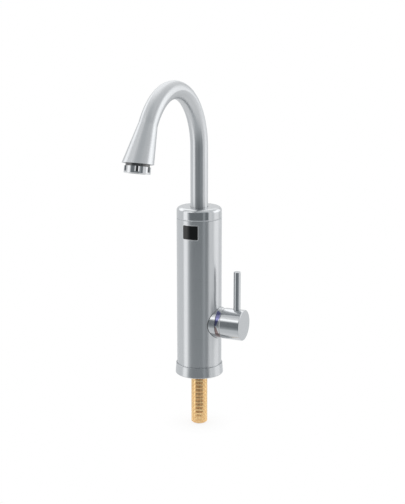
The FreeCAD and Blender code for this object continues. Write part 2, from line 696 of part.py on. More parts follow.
def spindle_o_ring():
    """O-ring in the groove of the spindle."""
    return on_handle_axis(o_ring(SPINDLE_RADIUS - SPINDLE_RING, SPINDLE_RING - RUN, spindle_ring_middle()))


def valve_collar():
    """Chrome collar saddled on the sleeve, screwed over the chamber's mouth, with a seat for the ring."""
    radius = COLLAR_DIAMETER / 2
    flange = on_handle_axis(cylinder(radius, 0, COLLAR_END)).cut(cylinder(BODY_RADIUS + SLIP, 0, SEAM_HEIGHT))
    spigot = on_handle_axis(cylinder(COLLAR_SPIGOT_RADIUS, VALVE_MOUTH - MOUTH_LAND, COLLAR_END))
    seat = on_handle_axis(cylinder(MARK_SEAT_RADIUS, COLLAR_END, MARK_END))
    land = on_handle_axis(cylinder(MARK_SEAT_RADIUS - RETAINER_LAND, MARK_END, RETAINER_END))
    cuts = [
        on_handle_axis(cylinder(MOUTH_RADIUS + SLIP, 0, VALVE_MOUTH)),
        on_handle_axis(cylinder(CHAMBER_RADIUS, 0, CARTRIDGE_END)),
        on_handle_axis(cylinder(SPINDLE_RADIUS + SPINDLE_HOLE_GAP, 0, RETAINER_END))]
    return flange.fuse([spigot, seat, land]).cut(cuts).removeSplitter()


def half_ring(side):
    """Upper or lower half of the temperature ring on the collar."""
    whole = on_handle_axis(ring(MARK_DIAMETER / 2, MARK_SEAT_RADIUS + SLIP, COLLAR_END, MARK_END))
    reach = MARK_DIAMETER
    low = HANDLE_HEIGHT if side > 0 else HANDLE_HEIGHT - reach
    return whole.common(block((0, -reach, low), (MARK_END, reach, low + reach)))


def cold_mark():
    """Blue half of the temperature ring."""
    return half_ring(1)


def hot_mark():
    """Red half of the temperature ring."""
    return half_ring(-1)


def ring_retainer():
    """Bright ring that keeps the temperature ring on the collar."""
    return on_handle_axis(ring(
        RETAINER_DIAMETER / 2, MARK_SEAT_RADIUS - RETAINER_LAND + SLIP, MARK_END, RETAINER_END))


def handle_hub():
    """Turned cup with a square-holed boss, a spot face for the lever and a hole for the grub screw."""
    inner = HUB_RADIUS - HUB_WALL
    boss = HUB_BOSS_DIAMETER / 2
    cup = on_handle_axis(turned(
        (inner, HUB_START), (HUB_RADIUS, HUB_START, HUB_BACK_EDGE), (HUB_RADIUS, HUB_FACE, HUB_EDGE),
        (0, HUB_FACE), (0, BOSS_START), (boss, BOSS_START),
        (boss, HUB_FLOOR), (inner, HUB_FLOOR)))
    half = SPINDLE_SQUARE / 2 + RUN
    square = block((BOSS_START, -half, HANDLE_HEIGHT - half), (HUB_FLOOR, half, HANDLE_HEIGHT + half))
    spot = Part.makeCylinder(LEVER_DIAMETER / 2 + SLIP, HUB_RADIUS, FreeCAD.Vector(LEVER_AXIS, 0, LEVER_FOOT))
    above_boss = FreeCAD.Vector(LEVER_AXIS, 0, HANDLE_HEIGHT + boss)
    thread = Part.makeCylinder(LEVER_THREAD / 2 + SLIP, HUB_RADIUS, above_boss)
    middle = FreeCAD.Vector(GRUB_AXIS, 0, HANDLE_HEIGHT)
    grub = Part.makeCylinder(GRUB_DIAMETER / 2 + SLIP, HUB_DIAMETER, middle, FreeCAD.Vector(0, 0, -1))
    return cup.cut([square, spot, thread, grub]).removeSplitter()


def lever_rod():
    """Straight round lever with a bevelled top and a threaded foot in the hub."""
    foot = HANDLE_HEIGHT + HUB_RADIUS - HUB_WALL
    return turned_at(
        (LEVER_AXIS, 0), (0, foot), (LEVER_THREAD / 2, foot), (LEVER_THREAD / 2, LEVER_FOOT),
        (LEVER_DIAMETER / 2, LEVER_FOOT), (LEVER_DIAMETER / 2, LEVER_FOOT + LEVER_LENGTH, LEVER_EDGE),
        (0, LEVER_FOOT + LEVER_LENGTH))


def grub_screw():
    """Socket-head grub screw that holds the hub on the spindle's square."""
    top = HANDLE_HEIGHT - SPINDLE_SQUARE / 2
    low = HANDLE_HEIGHT - HUB_BOSS_DIAMETER / 2
    screw = Part.makeCylinder(GRUB_DIAMETER / 2, top - low, FreeCAD.Vector(GRUB_AXIS, 0, low))
    key = Part.makeCylinder(GRUB_KEY / 2, (top - low) / 2, FreeCAD.Vector(GRUB_AXIS, 0, low))
    return screw.cut(key)


# Body sleeve, cap and display

def body_sleeve():
    """Steel sleeve with the window cut-out, the side hole for the valve and the hole for the cord gland."""
    sleeve = ring(BODY_RADIUS, BODY_INNER, BASE_FLOOR, SEAM_HEIGHT)
    side = on_handle_axis(cylinder(COLLAR_SPIGOT_RADIUS + 2 * SLIP, 0, BODY_DIAMETER))
    level = FreeCAD.Vector(0, 0, GLAND_HEIGHT)
    gland = Part.makeCylinder(GLAND_NECK_DIAMETER / 2 + SLIP, BODY_DIAMETER, level, FreeCAD.Vector(0, 1, 0))
    return sleeve.cut([window_prism(0), side, gland])


def display_window():
    """Curved black lens in the cut-out with a lip behind the sleeve."""
    lens = ring(BODY_RADIUS, LIP_RADIUS - WINDOW_FLANGE, 0, CAP_TOP).common(window_prism(-SLIP))
    lip = ring(LIP_RADIUS, LIP_RADIUS - WINDOW_FLANGE, 0, CAP_TOP).common(window_prism(WINDOW_LIP))
    return lens.fuse(lip).removeSplitter()


def display_module():
    """Number display behind the window, with its raised digit face."""
    half = MODULE_WIDTH / 2
    high = MODULE_HEIGHT / 2
    body = block((-half, -MODULE_FACE, WINDOW_MIDDLE - high), (half, -MODULE_BACK, WINDOW_MIDDLE + high))
    edges = [edge for edge in body.Edges if abs(edge.CenterOfMass.y + MODULE_FACE) < SLIP]
    return body.makeChamfer(MODULE_EDGE, edges)


def display_board():
    """Circuit board that carries the display module."""
    half = chord(BODY_INNER - BOARD_MARGIN, MODULE_BACK)
    high = DISPLAY_BOARD_HEIGHT / 2
    return block((-half, -MODULE_BACK, WINDOW_MIDDLE - high), (half, -BOARD_BACK, WINDOW_MIDDLE + high))


def display_bracket():
    """Saddle between the display board and the spout socket."""
    half = BRACKET_WIDTH / 2
    high = BRACKET_HEIGHT / 2
    saddle = block(
        (-half, -BOARD_BACK, WINDOW_MIDDLE - high),
        (half, BRACKET_GRIP - BARREL_RADIUS, WINDOW_MIDDLE + high))
    return saddle.cut(cylinder(BARREL_RADIUS + SLIP, 0, CAP_TOP))


def top_cap():
    """Lid with a rounded edge, a spigot in the sleeve, the spout hole and the wiper groove."""
    hole = TUBE_RADIUS + CAP_HOLE_GAP
    spigot = BODY_INNER - SLIP
    inside = spigot - CAP_SKIRT
    low = SEAM_HEIGHT - CAP_SPIGOT
    lid = turned(
        (hole, CAP_TOP), (BODY_RADIUS, CAP_TOP, CAP_EDGE), (BODY_RADIUS, SEAM_HEIGHT + CAP_BEVEL_HEIGHT),
        (BODY_RADIUS - CAP_BEVEL, SEAM_HEIGHT), (spigot, SEAM_HEIGHT), (spigot, low), (inside, low),
        (inside, CAP_UNDER), (hole, CAP_UNDER))
    groove_top = CAP_TOP - WIPER_COVER
    groove = cylinder(TUBE_RADIUS + WIPER_WIDTH + SLIP, groove_top - WIPER_HEIGHT, groove_top)
    screw_hole = cylinder(SCREW_RADIUS, CAP_UNDER, CAP_UNDER + SOCKET_SCREW_REACH)
    screw_hole.translate(FreeCAD.Vector(SOCKET_SCREW_RADIUS, 0, 0))
    return lid.cut([groove] + about_z(screw_hole, SOCKET_SCREWS, 45))


def spout_wiper():
    """Rubber ring in the cap that wipes the spout tube."""
    top = CAP_TOP - WIPER_COVER
    return ring(TUBE_RADIUS + WIPER_WIDTH, TUBE_RADIUS + RUN, top - WIPER_HEIGHT, top)


# Spout swivel

def spout_socket():
    """Brass socket screwed under the cap, in which the spout stem turns."""
    socket = turned(
        (STEM_RADIUS + RUN, NECK_LOW), (NECK_RADIUS, NECK_LOW), (NECK_RADIUS, BARREL_LOW),
        (BARREL_RADIUS, BARREL_LOW), (BARREL_RADIUS, SOCKET_LEDGE), (SOCKET_FLANGE_RADIUS, SOCKET_LEDGE),
        (SOCKET_FLANGE_RADIUS, CAP_UNDER),
        (TUBE_RADIUS + CAP_HOLE_GAP, CAP_UNDER), (TUBE_RADIUS + CAP_HOLE_GAP, BEARING_LOW),
        (STEM_RADIUS + RUN, BEARING_LOW))
    hole = cylinder(SCREW_RADIUS + SLIP, SOCKET_LEDGE, CAP_UNDER)
    hole.translate(FreeCAD.Vector(SOCKET_SCREW_RADIUS, 0, 0))
    return socket.cut(about_z(hole, SOCKET_SCREWS, 45))


def socket_screws():
    """Screws that hold the socket under the cap."""
    screw = machine_screw(SOCKET_FLANGE + SOCKET_SCREW_REACH)
    screw.translate(FreeCAD.Vector(SOCKET_SCREW_RADIUS, 0, SOCKET_LEDGE))
    return Part.makeCompound(about_z(screw, SOCKET_SCREWS, 45))


def bearing_washer():
    """Plain bearing washer under the spout stem's shoulder."""
    return ring(TUBE_RADIUS + CAP_HOLE_GAP - SLIP, STEM_RADIUS + 2 * SLIP, BEARING_LOW, BEARING_TOP)


def stem_ring_heights():
    """Heights of the two O-rings on the stem, in the socket's barrel."""
    middle = (NECK_LOW + BEARING_LOW) / 2
    return (middle - RING_SPACING / 2, middle + RING_SPACING / 2)


def clip_top():
    """Top of the retaining clip below the socket."""
    return NECK_LOW - CLIP_GAP


def spout_stem():
    """Brass stem brazed into the tube, with O-ring grooves and a clip groove."""
    shoulder = TUBE_LOW - STEM_SHOULDER
    stem = turned(
        (STEM_BORE / 2, STEM_LOW), (STEM_RADIUS, STEM_LOW, STEM_EDGE), (STEM_RADIUS, shoulder),
        (TUBE_RADIUS, shoulder), (TUBE_RADIUS, TUBE_LOW), (TUBE_INNER - SLIP, TUBE_LOW),
        (TUBE_INNER - SLIP, TUBE_LOW + STEM_GRIP), (STEM_BORE / 2, TUBE_LOW + STEM_GRIP))
    half = RING_SECTION * GROOVE_ROOM / 2
    cuts = [
        ring(STEM_RADIUS + SLIP, STEM_RADIUS - RING_SECTION * RING_SQUEEZE, height - half, height + half)
        for height in stem_ring_heights()]
    top = clip_top()
    cuts.append(ring(STEM_RADIUS + SLIP, STEM_RADIUS - CLIP_DEPTH, top - CLIP_THICKNESS, top))
    return stem.cut(cuts)


def spout_o_rings():
    """O-rings in the grooves of the stem."""
    depth = RING_SECTION * RING_SQUEEZE
    return Part.makeCompound([
        o_ring(STEM_RADIUS - depth, depth + RUN / 2, height) for height in stem_ring_heights()])


def spout_clip():
    """Open spring clip in the stem's groove under the socket."""
    top = clip_top()
    clip = ring(CLIP_DIAMETER / 2, STEM_RADIUS - CLIP_DEPTH, top - CLIP_THICKNESS, top)
    mouth = block((-STEM_RADIUS / 2, 0, top - CLIP_THICKNESS), (STEM_RADIUS / 2, CLIP_DIAMETER, top))
    return clip.cut(mouth)


def outlet_adapter():
    """Cup screwed under the socket that takes the tank's outlet nipple."""
    inner = NECK_RADIUS + SLIP
    nipple = LID_NIPPLE_DIAMETER / 2 + SLIP
    grip = ADAPTER_LOW + LID_NIPPLE_GRIP
    return turned(
        (nipple, ADAPTER_LOW), (BARREL_RADIUS, ADAPTER_LOW), (BARREL_RADIUS, BARREL_LOW), (inner, BARREL_LOW),
        (inner, ADAPTER_INSIDE), (PORT_RADIUS, ADAPTER_INSIDE), (PORT_RADIUS, grip), (nipple, grip))


def spout_tube():
    """Gooseneck: a straight riser and one long bend."""
    riser = ring(TUBE_RADIUS, TUBE_INNER, TUBE_LOW, ARC_HEIGHT)
    centre = FreeCAD.Vector(0, 0, ARC_HEIGHT)
    outer = Part.Wire(Part.Circle(centre, FreeCAD.Vector(0, 0, 1), TUBE_RADIUS).toShape())
    inner = Part.Wire(Part.Circle(centre, FreeCAD.Vector(0, 0, 1), TUBE_INNER).toShape())
    section = Part.Face(outer).cut(Part.Face(inner))
    bend = section.revolve(FreeCAD.Vector(0, -SPOUT_ARC, ARC_HEIGHT), FreeCAD.Vector(1, 0, 0), SPOUT_TURN)
    return riser.fuse(bend).removeSplitter()


def circle_at(centre, lean, radius):
    """Circle that faces down and leans outwards by an angle, as a wire that starts on +X."""
    circle = Part.Circle(FreeCAD.Vector(), FreeCAD.Vector(0, 0, 1), radius).toShape()
    circle.rotate(FreeCAD.Vector(), FreeCAD.Vector(1, 0, 0), -lean)
    circle.translate(centre)
    return Part.Wire(circle)


def spout_nozzle():
    """Skewed cone from the slanted end of the tube to the nearly level rim, recessed and bored."""
    lean = 180 - SPOUT_TURN
    up = ARC_END - RIM_CENTRE
    share = RIM_RECESS / (NOZZLE_LENGTH * math.cos(math.radians(lean - RIM_TILT)))
    recess_radius = RIM_RADIUS - share * (RIM_RADIUS - TUBE_RADIUS) - RIM_WALL
    thread_top = RIM_RECESS + AERATOR_NECK + SOCKET_SPARE
    thread = on_outlet_axis(cylinder(AERATOR_THREAD / 2 + SLIP, 0, thread_top))
    bore_start = thread.CenterOfMass * 2 - RIM_CENTRE
    cone = Part.makeLoft(
        [circle_at(ARC_END, lean, TUBE_RADIUS + NOZZLE_STEP), circle_at(RIM_CENTRE, RIM_TILT, RIM_RADIUS)],
        True, True)
    bore = Part.makeLoft(
        [circle_at(ARC_END, lean, TUBE_INNER), circle_at(bore_start, RIM_TILT, AERATOR_INNER)], True, True)
    recess = Part.makeLoft(
        [circle_at(RIM_CENTRE + up * share, RIM_TILT, recess_radius),
         circle_at(RIM_CENTRE, RIM_TILT, RIM_RADIUS - RIM_WALL)], True, True)
    return cone.cut([bore, recess, thread])


# Aerator

def aerator_housing():
    """Chrome grip ring with flutes, a threaded neck and a lip that holds the insert."""
    top = RIM_RECESS + AERATOR_NECK
    mouth = AERATOR_INNER - AERATOR_LIP
    body = turned(
        (mouth, -AERATOR_DROP), (AERATOR_RADIUS, -AERATOR_DROP, AERATOR_EDGE), (AERATOR_RADIUS, -AERATOR_GAP),
        (AERATOR_THREAD / 2, -AERATOR_GAP), (AERATOR_THREAD / 2, top), (AERATOR_INNER, top),
        (AERATOR_INNER, AERATOR_LIP - AERATOR_DROP), (mouth, AERATOR_LIP - AERATOR_DROP))
    flute = cylinder(GRIP_RADIUS, GRIP_MARGIN - AERATOR_DROP, -AERATOR_GAP)
    flute.translate(FreeCAD.Vector(AERATOR_RADIUS + GRIP_RADIUS - GRIP_DEPTH, 0, 0))
    return on_outlet_axis(body.cut(about_z(flute, GRIP_COUNT, GRIP_TURN)))


def aerator_insert():
    """Plastic flow straightener with a six-sided pattern of jets."""
    low = AERATOR_LIP - AERATOR_DROP
    floor = low + INSERT_FLOOR
    top = RIM_RECESS + AERATOR_NECK
    outer = AERATOR_INNER - SLIP
    inner = AERATOR_INNER - AERATOR_LIP
    body = turned((0, low), (outer, low), (outer, top), (inner, top), (inner, floor), (0, floor))
    jets = []
    for row in range(-JET_RINGS, JET_RINGS + 1):
        for step in range(-JET_RINGS, JET_RINGS + 1):
            if abs(row + step) > JET_RINGS:
                continue
            jet = cylinder(JET_RADIUS, low, floor)
            across = JET_PITCH * (step + row / 2)
            along = JET_PITCH * row * math.sqrt(3) / 2
            jet.translate(FreeCAD.Vector(across, along, 0))
            jets.append(jet)
    return on_outlet_axis(body.cut(jets))


def aerator_washer():
    """Tall rubber washer between the grip ring and the floor of the recess, seen below the rim."""
    return on_outlet_axis(ring(AERATOR_SEAL / 2, AERATOR_THREAD / 2 + SLIP, -AERATOR_GAP, RIM_RECESS))


# Heater

def tank_screw_tools(radius, low, high):
    """Even upright cylinders on the tank's screw circle."""
    tool = cylinder(radius, low, high)
    tool.translate(FreeCAD.Vector(TANK_SCREW_RADIUS, 0, 0))
    return about_z(tool, TANK_SCREWS)


def heater_tank():
    """Flanged vessel on the valve's outlet, with a pad for the thermal cut-out."""
    boss = VALVE_OUTLET_DIAMETER / 2 + SLIP
    outside = turned(
        (0, VALVE_TOP - TANK_SOCKET), (boss + TANK_BOSS_WALL, VALVE_TOP - TANK_SOCKET),
        (boss + TANK_BOSS_WALL, VALVE_TOP), (TANK_RADIUS, VALVE_TOP, TANK_FLOOR),
        (TANK_RADIUS, TANK_TOP - TANK_FLANGE), (TANK_FLANGE_RADIUS, TANK_TOP - TANK_FLANGE),
        (TANK_FLANGE_RADIUS, TANK_TOP), (0, TANK_TOP))
    middle = (TANK_INSIDE + TANK_TOP) / 2
    half = CUTOUT_DIAMETER / 2
    pad = block((-half, 0, middle - half), (half, TANK_RADIUS + CUTOUT_PAD, middle + half))
    cuts = [
        cylinder(TANK_RADIUS - TANK_WALL, TANK_INSIDE, TANK_TOP),
        cylinder(boss, VALVE_TOP - TANK_SOCKET, VALVE_TOP),
        cylinder(PORT_RADIUS, VALVE_TOP, TANK_INSIDE)]
    cuts += tank_screw_tools(SCREW_RADIUS, TANK_TOP - TANK_FLANGE, TANK_TOP)
    return outside.fuse(pad).cut(cuts).removeSplitter()


def tank_gasket():
    """Flat gasket between tank and lid."""
    gasket = ring(TANK_FLANGE_RADIUS, TANK_RADIUS - TANK_WALL, TANK_TOP, LID_LOW)
    return gasket.cut(tank_screw_tools(SCREW_RADIUS + SLIP, TANK_TOP, LID_LOW))


def hairpin_angles():
    """Angles of the hairpins round the tank."""
    return [90 + 360.0 * index / HAIRPINS for index in range(HAIRPINS)]


def sensor_cylinder(radius, low, high):
    """Cylinder at the temperature sensor's place between two hairpins."""
    tool = cylinder(radius, low, high)
    tool.translate(FreeCAD.Vector(HAIRPIN_CIRCLE / 2, 0, 0))
    tool.rotate(FreeCAD.Vector(), FreeCAD.Vector(0, 0, 1), hairpin_angles()[0] + 180.0 / HAIRPINS)
    return tool


def tank_lid():
    """Lid with the outlet nipple and holes for the element legs, the sensor and the screws."""
    nipple = LID_NIPPLE_DIAMETER / 2
    nipple_top = ADAPTER_LOW + LID_NIPPLE_GRIP
    lid = turned(
        (PORT_RADIUS, LID_LOW), (TANK_FLANGE_RADIUS, LID_LOW), (TANK_FLANGE_RADIUS, LID_TOP, LID_EDGE),
        (nipple, LID_TOP), (nipple, nipple_top), (PORT_RADIUS, nipple_top))
    cuts = tank_screw_tools(SCREW_RADIUS + SLIP, LID_LOW, LID_TOP)
    cuts.append(sensor_cylinder(SENSOR_DIAMETER / 2 + RUN, LID_LOW, LID_TOP))
    for angle in hairpin_angles():
        for side in (-1, 1):
            leg = cylinder(HAIRPIN_DIAMETER / 2 + RUN, LID_LOW, LID_TOP)
            leg.translate(FreeCAD.Vector(HAIRPIN_CIRCLE / 2, side * HAIRPIN_SPAN / 2, 0))
            leg.rotate(FreeCAD.Vector(), FreeCAD.Vector(0, 0, 1), angle)
            cuts.append(leg)
    return lid.cut(cuts)


def tank_screws():
    """Screws round the lid of the tank."""
    reach = LID_TOP - TANK_TOP + TANK_FLANGE
    screw = machine_screw(reach)
    screw.rotate(FreeCAD.Vector(), FreeCAD.Vector(1, 0, 0), 180)
    screw.translate(FreeCAD.Vector(TANK_SCREW_RADIUS, 0, LID_TOP))
    return Part.makeCompound(about_z(screw, TANK_SCREWS))


def heating_element():
    """Sheathed hairpin elements that hang from the lid into the tank."""
    radius = HAIRPIN_DIAMETER / 2
    half = HAIRPIN_SPAN / 2
    bend_height = TANK_INSIDE + HAIRPIN_CLEAR + radius + half
    top = LID_TOP + HAIRPIN_PIN
    legs = []
    for side in (-1, 1):
        leg = Part.makeCylinder(radius, top - bend_height, FreeCAD.Vector(0, side * half, bend_height))
        legs.append(leg)
    circle = Part.Circle(FreeCAD.Vector(0, half, bend_height), FreeCAD.Vector(0, 0, 1), radius).toShape()
    section = Part.Face(Part.Wire(circle))
    bend = section.revolve(FreeCAD.Vector(0, 0, bend_height), FreeCAD.Vector(1, 0, 0), -180)
    hairpin = bend.fuse(legs).removeSplitter()
    hairpin.translate(FreeCAD.Vector(HAIRPIN_CIRCLE / 2, 0, 0))
    return Part.makeCompound(about_z(hairpin, HAIRPINS, hairpin_angles()[0]))


def temperature_sensor():
    """Probe through the lid with a flange on top."""
    probe = sensor_cylinder(SENSOR_DIAMETER / 2, LID_LOW - SENSOR_DEPTH, LID_TOP)
    head = sensor_cylinder(SENSOR_DIAMETER / 2 + SENSOR_FLANGE, LID_TOP, LID_TOP + SENSOR_HEAD)
    return probe.fuse(head).removeSplitter()


def thermal_cutout():
    """Round safety cut-out on the tank's pad."""
    middle = (TANK_INSIDE + TANK_TOP) / 2
    face = TANK_RADIUS + CUTOUT_PAD
    disc = Part.makeCylinder(
        CUTOUT_DIAMETER / 2, CUTOUT_THICKNESS, FreeCAD.Vector(0, face, middle), FreeCAD.Vector(0, 1, 0))
    rim = [edge for edge in disc.Edges if abs(edge.CenterOfMass.y - face - CUTOUT_THICKNESS) < SLIP]
    return disc.makeChamfer(CUTOUT_EDGE, rim)


# Mains side

def power_board_face():
    """Front face of the power board, which stands off the back of the sleeve."""
    return BODY_INNER - POWER_BOARD_SETBACK - BOARD_THICKNESS


def power_board():
    """Circuit board that stands on the chassis plate behind the flow switch."""
    front = power_board_face()
    back = front + BOARD_THICKNESS
    half = chord(BODY_INNER - POWER_BOARD_MARGIN, back)
    return block((-half, front, CHASSIS_TOP), (half, back, CHASSIS_TOP + POWER_BOARD_HEIGHT))


def relay():
    """Slim power relay on the front of the power board, behind the flow switch."""
    half = RELAY_WIDTH / 2
    low = CHASSIS_TOP + RELAY_LIFT
    front = SWITCH_RADIUS + RELAY_CLEAR
    body = block((-half, front, low), (half, power_board_face(), low + RELAY_HEIGHT))
    edges = [edge for edge in body.Edges if abs(edge.CenterOfMass.y - front) < SLIP]
    return body.makeFillet(RELAY_EDGE, edges)


def terminal_block():
    """Screw terminals on the back of the power board, above the cord gland."""
    half = TERMINAL_WIDTH / 2
    front = power_board_face() + BOARD_THICKNESS
    back = chord(BODY_INNER - TERMINAL_MARGIN, half)
    low = CHASSIS_TOP + TERMINAL_LIFT
    body = block((-half, front, low), (half, back, low + TERMINAL_HEIGHT))
    middle = (front + back) / 2
    pitch = TERMINAL_WIDTH / TERMINAL_POLES
    wells = []
    for pole in range(TERMINAL_POLES):
        across = pitch * (pole + 0.5) - half
        place = FreeCAD.Vector(across, middle, low + TERMINAL_HEIGHT / 2)
        wells.append(Part.makeCylinder(TERMINAL_SCREW / 2, back - middle, place, FreeCAD.Vector(0, 1, 0)))
        mouth = FreeCAD.Vector(across, middle, low)
        wells.append(Part.makeCylinder(TERMINAL_SCREW / 2, TERMINAL_HEIGHT / 2, mouth))
    return body.cut(wells)


def cord_gland():
    """Rubber bush in the back of the sleeve for the mains cord."""
    level = FreeCAD.Vector(0, 0, GLAND_HEIGHT)
    back = FreeCAD.Vector(0, 1, 0)
    start = BODY_INNER - GLAND_INSIDE
    end = BODY_RADIUS + GLAND_STAND
    rod = Part.makeCylinder(GLAND_DIAMETER / 2, end, level, back)
    front = block((-BODY_RADIUS, 0, 0), (BODY_RADIUS, start, SEAM_HEIGHT))
    outer = rod.cut(cylinder(BODY_RADIUS + SLIP, 0, SEAM_HEIGHT))
    inner = rod.common(cylinder(BODY_INNER - SLIP, 0, SEAM_HEIGHT)).cut(front)
    neck = Part.makeCylinder(GLAND_NECK_DIAMETER / 2, end, level, back).cut(front)
    bore = Part.makeCylinder(GLAND_BORE / 2, end, level, back)
    return neck.fuse([outer, inner]).cut(bore).removeSplitter()


PIECES = (
    base_flange, base_screws, base_gasket, threaded_shank, shank_seal, chassis_plate,
    flow_switch_housing, reed_switch, flow_plunger, plunger_magnet,
    valve_body, cartridge_seals, fixed_disc, moving_disc, cartridge_housing, cartridge_spindle,
    spindle_o_ring, valve_collar, cold_mark, hot_mark, ring_retainer, handle_hub, lever_rod, grub_screw,
    body_sleeve, display_window, display_module, display_board, display_bracket, top_cap, spout_wiper,
    spout_socket, socket_screws, bearing_washer, spout_stem, spout_o_rings, spout_clip, outlet_adapter,
    spout_tube, spout_nozzle, aerator_housing, aerator_insert, aerator_washer,
    heater_tank, tank_gasket, tank_lid, tank_screws, heating_element, temperature_sensor, thermal_cutout,
    power_board, relay, terminal_block, cord_gland)

os.makedirs("parts", exist_ok=True)
for piece in PIECES:
    shape = piece()
    shape.exportStep("parts/" + piece.__name__ + ".step")
    state = "valid" if shape.isValid() else "NOT VALID"
    print(piece.__name__, len(shape.Solids), round(shape.Volume, 1), state)
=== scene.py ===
import json
import math

import bpy
import numpy as np
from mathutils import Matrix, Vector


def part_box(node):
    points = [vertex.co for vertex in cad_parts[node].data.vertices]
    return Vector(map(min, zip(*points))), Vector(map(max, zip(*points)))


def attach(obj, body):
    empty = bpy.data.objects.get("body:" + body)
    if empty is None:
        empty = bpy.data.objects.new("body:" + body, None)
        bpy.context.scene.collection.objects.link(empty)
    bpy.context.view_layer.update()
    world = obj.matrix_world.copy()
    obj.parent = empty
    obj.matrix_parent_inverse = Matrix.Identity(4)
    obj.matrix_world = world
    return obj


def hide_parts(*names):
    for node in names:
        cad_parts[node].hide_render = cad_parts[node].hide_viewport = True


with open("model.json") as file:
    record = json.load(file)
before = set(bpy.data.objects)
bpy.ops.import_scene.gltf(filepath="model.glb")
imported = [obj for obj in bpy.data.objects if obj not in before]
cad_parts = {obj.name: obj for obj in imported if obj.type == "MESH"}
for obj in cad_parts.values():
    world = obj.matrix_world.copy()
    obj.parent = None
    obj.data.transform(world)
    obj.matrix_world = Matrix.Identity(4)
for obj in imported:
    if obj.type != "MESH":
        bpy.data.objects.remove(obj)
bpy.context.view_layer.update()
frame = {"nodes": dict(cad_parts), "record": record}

bl_info = {
    "name": "Instant water heater tap",
    "version": (1, 0, 0),
    "blender": (4, 5, 0),
    "location": "View3D > Sidebar > Tap",
    "description": "Finishes, thread, trim and studio for a tap with a built-in water heater",
    "category": "Object",
}

MM = 0.001
ORIGIN = (0.0, 0.0, 0.0)
UP = (0.0, 0.0, 1.0)
ACROSS = (1.0, 0.0, 0.0)


def middle_of(node):
    """Centre of a node's box at rest."""
    low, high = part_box(node)
    return (low + high) / 2


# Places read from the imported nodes
HANDLE_CENTRE = tuple(middle_of("handle_hub"))
LEVER_CENTRE = tuple(middle_of("lever_rod"))
BODY_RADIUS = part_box("body_sleeve")[1].x
CAP_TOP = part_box("top_cap")[1].z
SHANK_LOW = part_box("threaded_shank")[0].z
SHANK_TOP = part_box("threaded_shank")[1].z
SHANK_RADIUS = 10.4775 * MM
COLLAR_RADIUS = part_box("valve_collar")[1].y
COLLAR_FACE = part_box("cold_mark")[0].x
RETAINER_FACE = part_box("ring_retainer")[1].x
RETAINER_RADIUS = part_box("ring_retainer")[1].y
HUB_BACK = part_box("handle_hub")[0].x
BASE_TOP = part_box("base_flange")[1].z

# The spout's bend: its straight rise above the cap, its radius and its turn
SPOUT_RISE = 73.0 * MM
SPOUT_ARC = 77.5 * MM
SPOUT_TURN = math.radians(147.0)
ARC_HEIGHT = CAP_TOP + SPOUT_RISE
NOZZLE_START = (
    0.0, SPOUT_ARC * (math.cos(SPOUT_TURN) - 1), ARC_HEIGHT + SPOUT_ARC * math.sin(SPOUT_TURN))
NOZZLE_AXIS = (0.0, -math.sin(SPOUT_TURN), math.cos(SPOUT_TURN))

# The outlet's own axis leans outwards, and the aerator stands on it
OUTLET_TILT = math.radians(12.5)
OUTLET_AXIS = (0.0, math.sin(OUTLET_TILT), math.cos(OUTLET_TILT))
OUTLET_SIDE = (0.0, math.cos(OUTLET_TILT), -math.sin(OUTLET_TILT))
OUTLET_CENTRE = tuple(middle_of("aerator_washer"))
AERATOR_RADIUS = 15.0 * MM


class TapFinishes(bpy.types.PropertyGroup):
    """Colours and gloss of the finishes."""

    steel: bpy.props.FloatVectorProperty(
        name="Steel", description="Reflected colour of the brushed steel", subtype="COLOR", size=3,
        min=0, max=1, default=(0.575, 0.59, 0.605))
    steel_roughness: bpy.props.FloatProperty(
        name="Steel roughness", description="Mean roughness of the brushed column and spout",
        subtype="FACTOR", min=0, max=1, default=0.30)
    fine_roughness: bpy.props.FloatProperty(
        name="Fine roughness", description="Mean roughness of the finely turned cap and hub",
        subtype="FACTOR", min=0, max=1, default=0.15)
    chrome: bpy.props.FloatVectorProperty(
        name="Chrome", description="Reflected colour of the chrome plating", subtype="COLOR", size=3,
        min=0, max=1, default=(0.64, 0.65, 0.665))
    brass: bpy.props.FloatVectorProperty(
        name="Brass", description="Reflected colour of the bare brass", subtype="COLOR", size=3,
        min=0, max=1, default=(0.90, 0.71, 0.43))
    thread_crest: bpy.props.FloatVectorProperty(
        name="Thread crest", description="Reflected colour of the rubbed crests of the shank's thread",
        subtype="COLOR", size=3, min=0, max=1, default=(0.96, 0.76, 0.40))
    thread_root: bpy.props.FloatVectorProperty(
        name="Thread root", description="Reflected colour of the dull roots of the shank's thread",
        subtype="COLOR", size=3, min=0, max=1, default=(0.82, 0.30, 0.05))
    cold: bpy.props.FloatVectorProperty(
        name="Cold mark", description="Colour of the cold half of the ring", subtype="COLOR", size=3,
        min=0, max=1, default=(0.07, 0.07, 0.27))
    hot: bpy.props.FloatVectorProperty(
        name="Hot mark", description="Colour of the hot half of the ring", subtype="COLOR", size=3,
        min=0, max=1, default=(0.16, 0.080, 0.075))
    lens: bpy.props.FloatVectorProperty(
        name="Lens", description="Colour of the display window", subtype="COLOR", size=3,
        min=0, max=1, default=(0.0012, 0.0012, 0.0015))


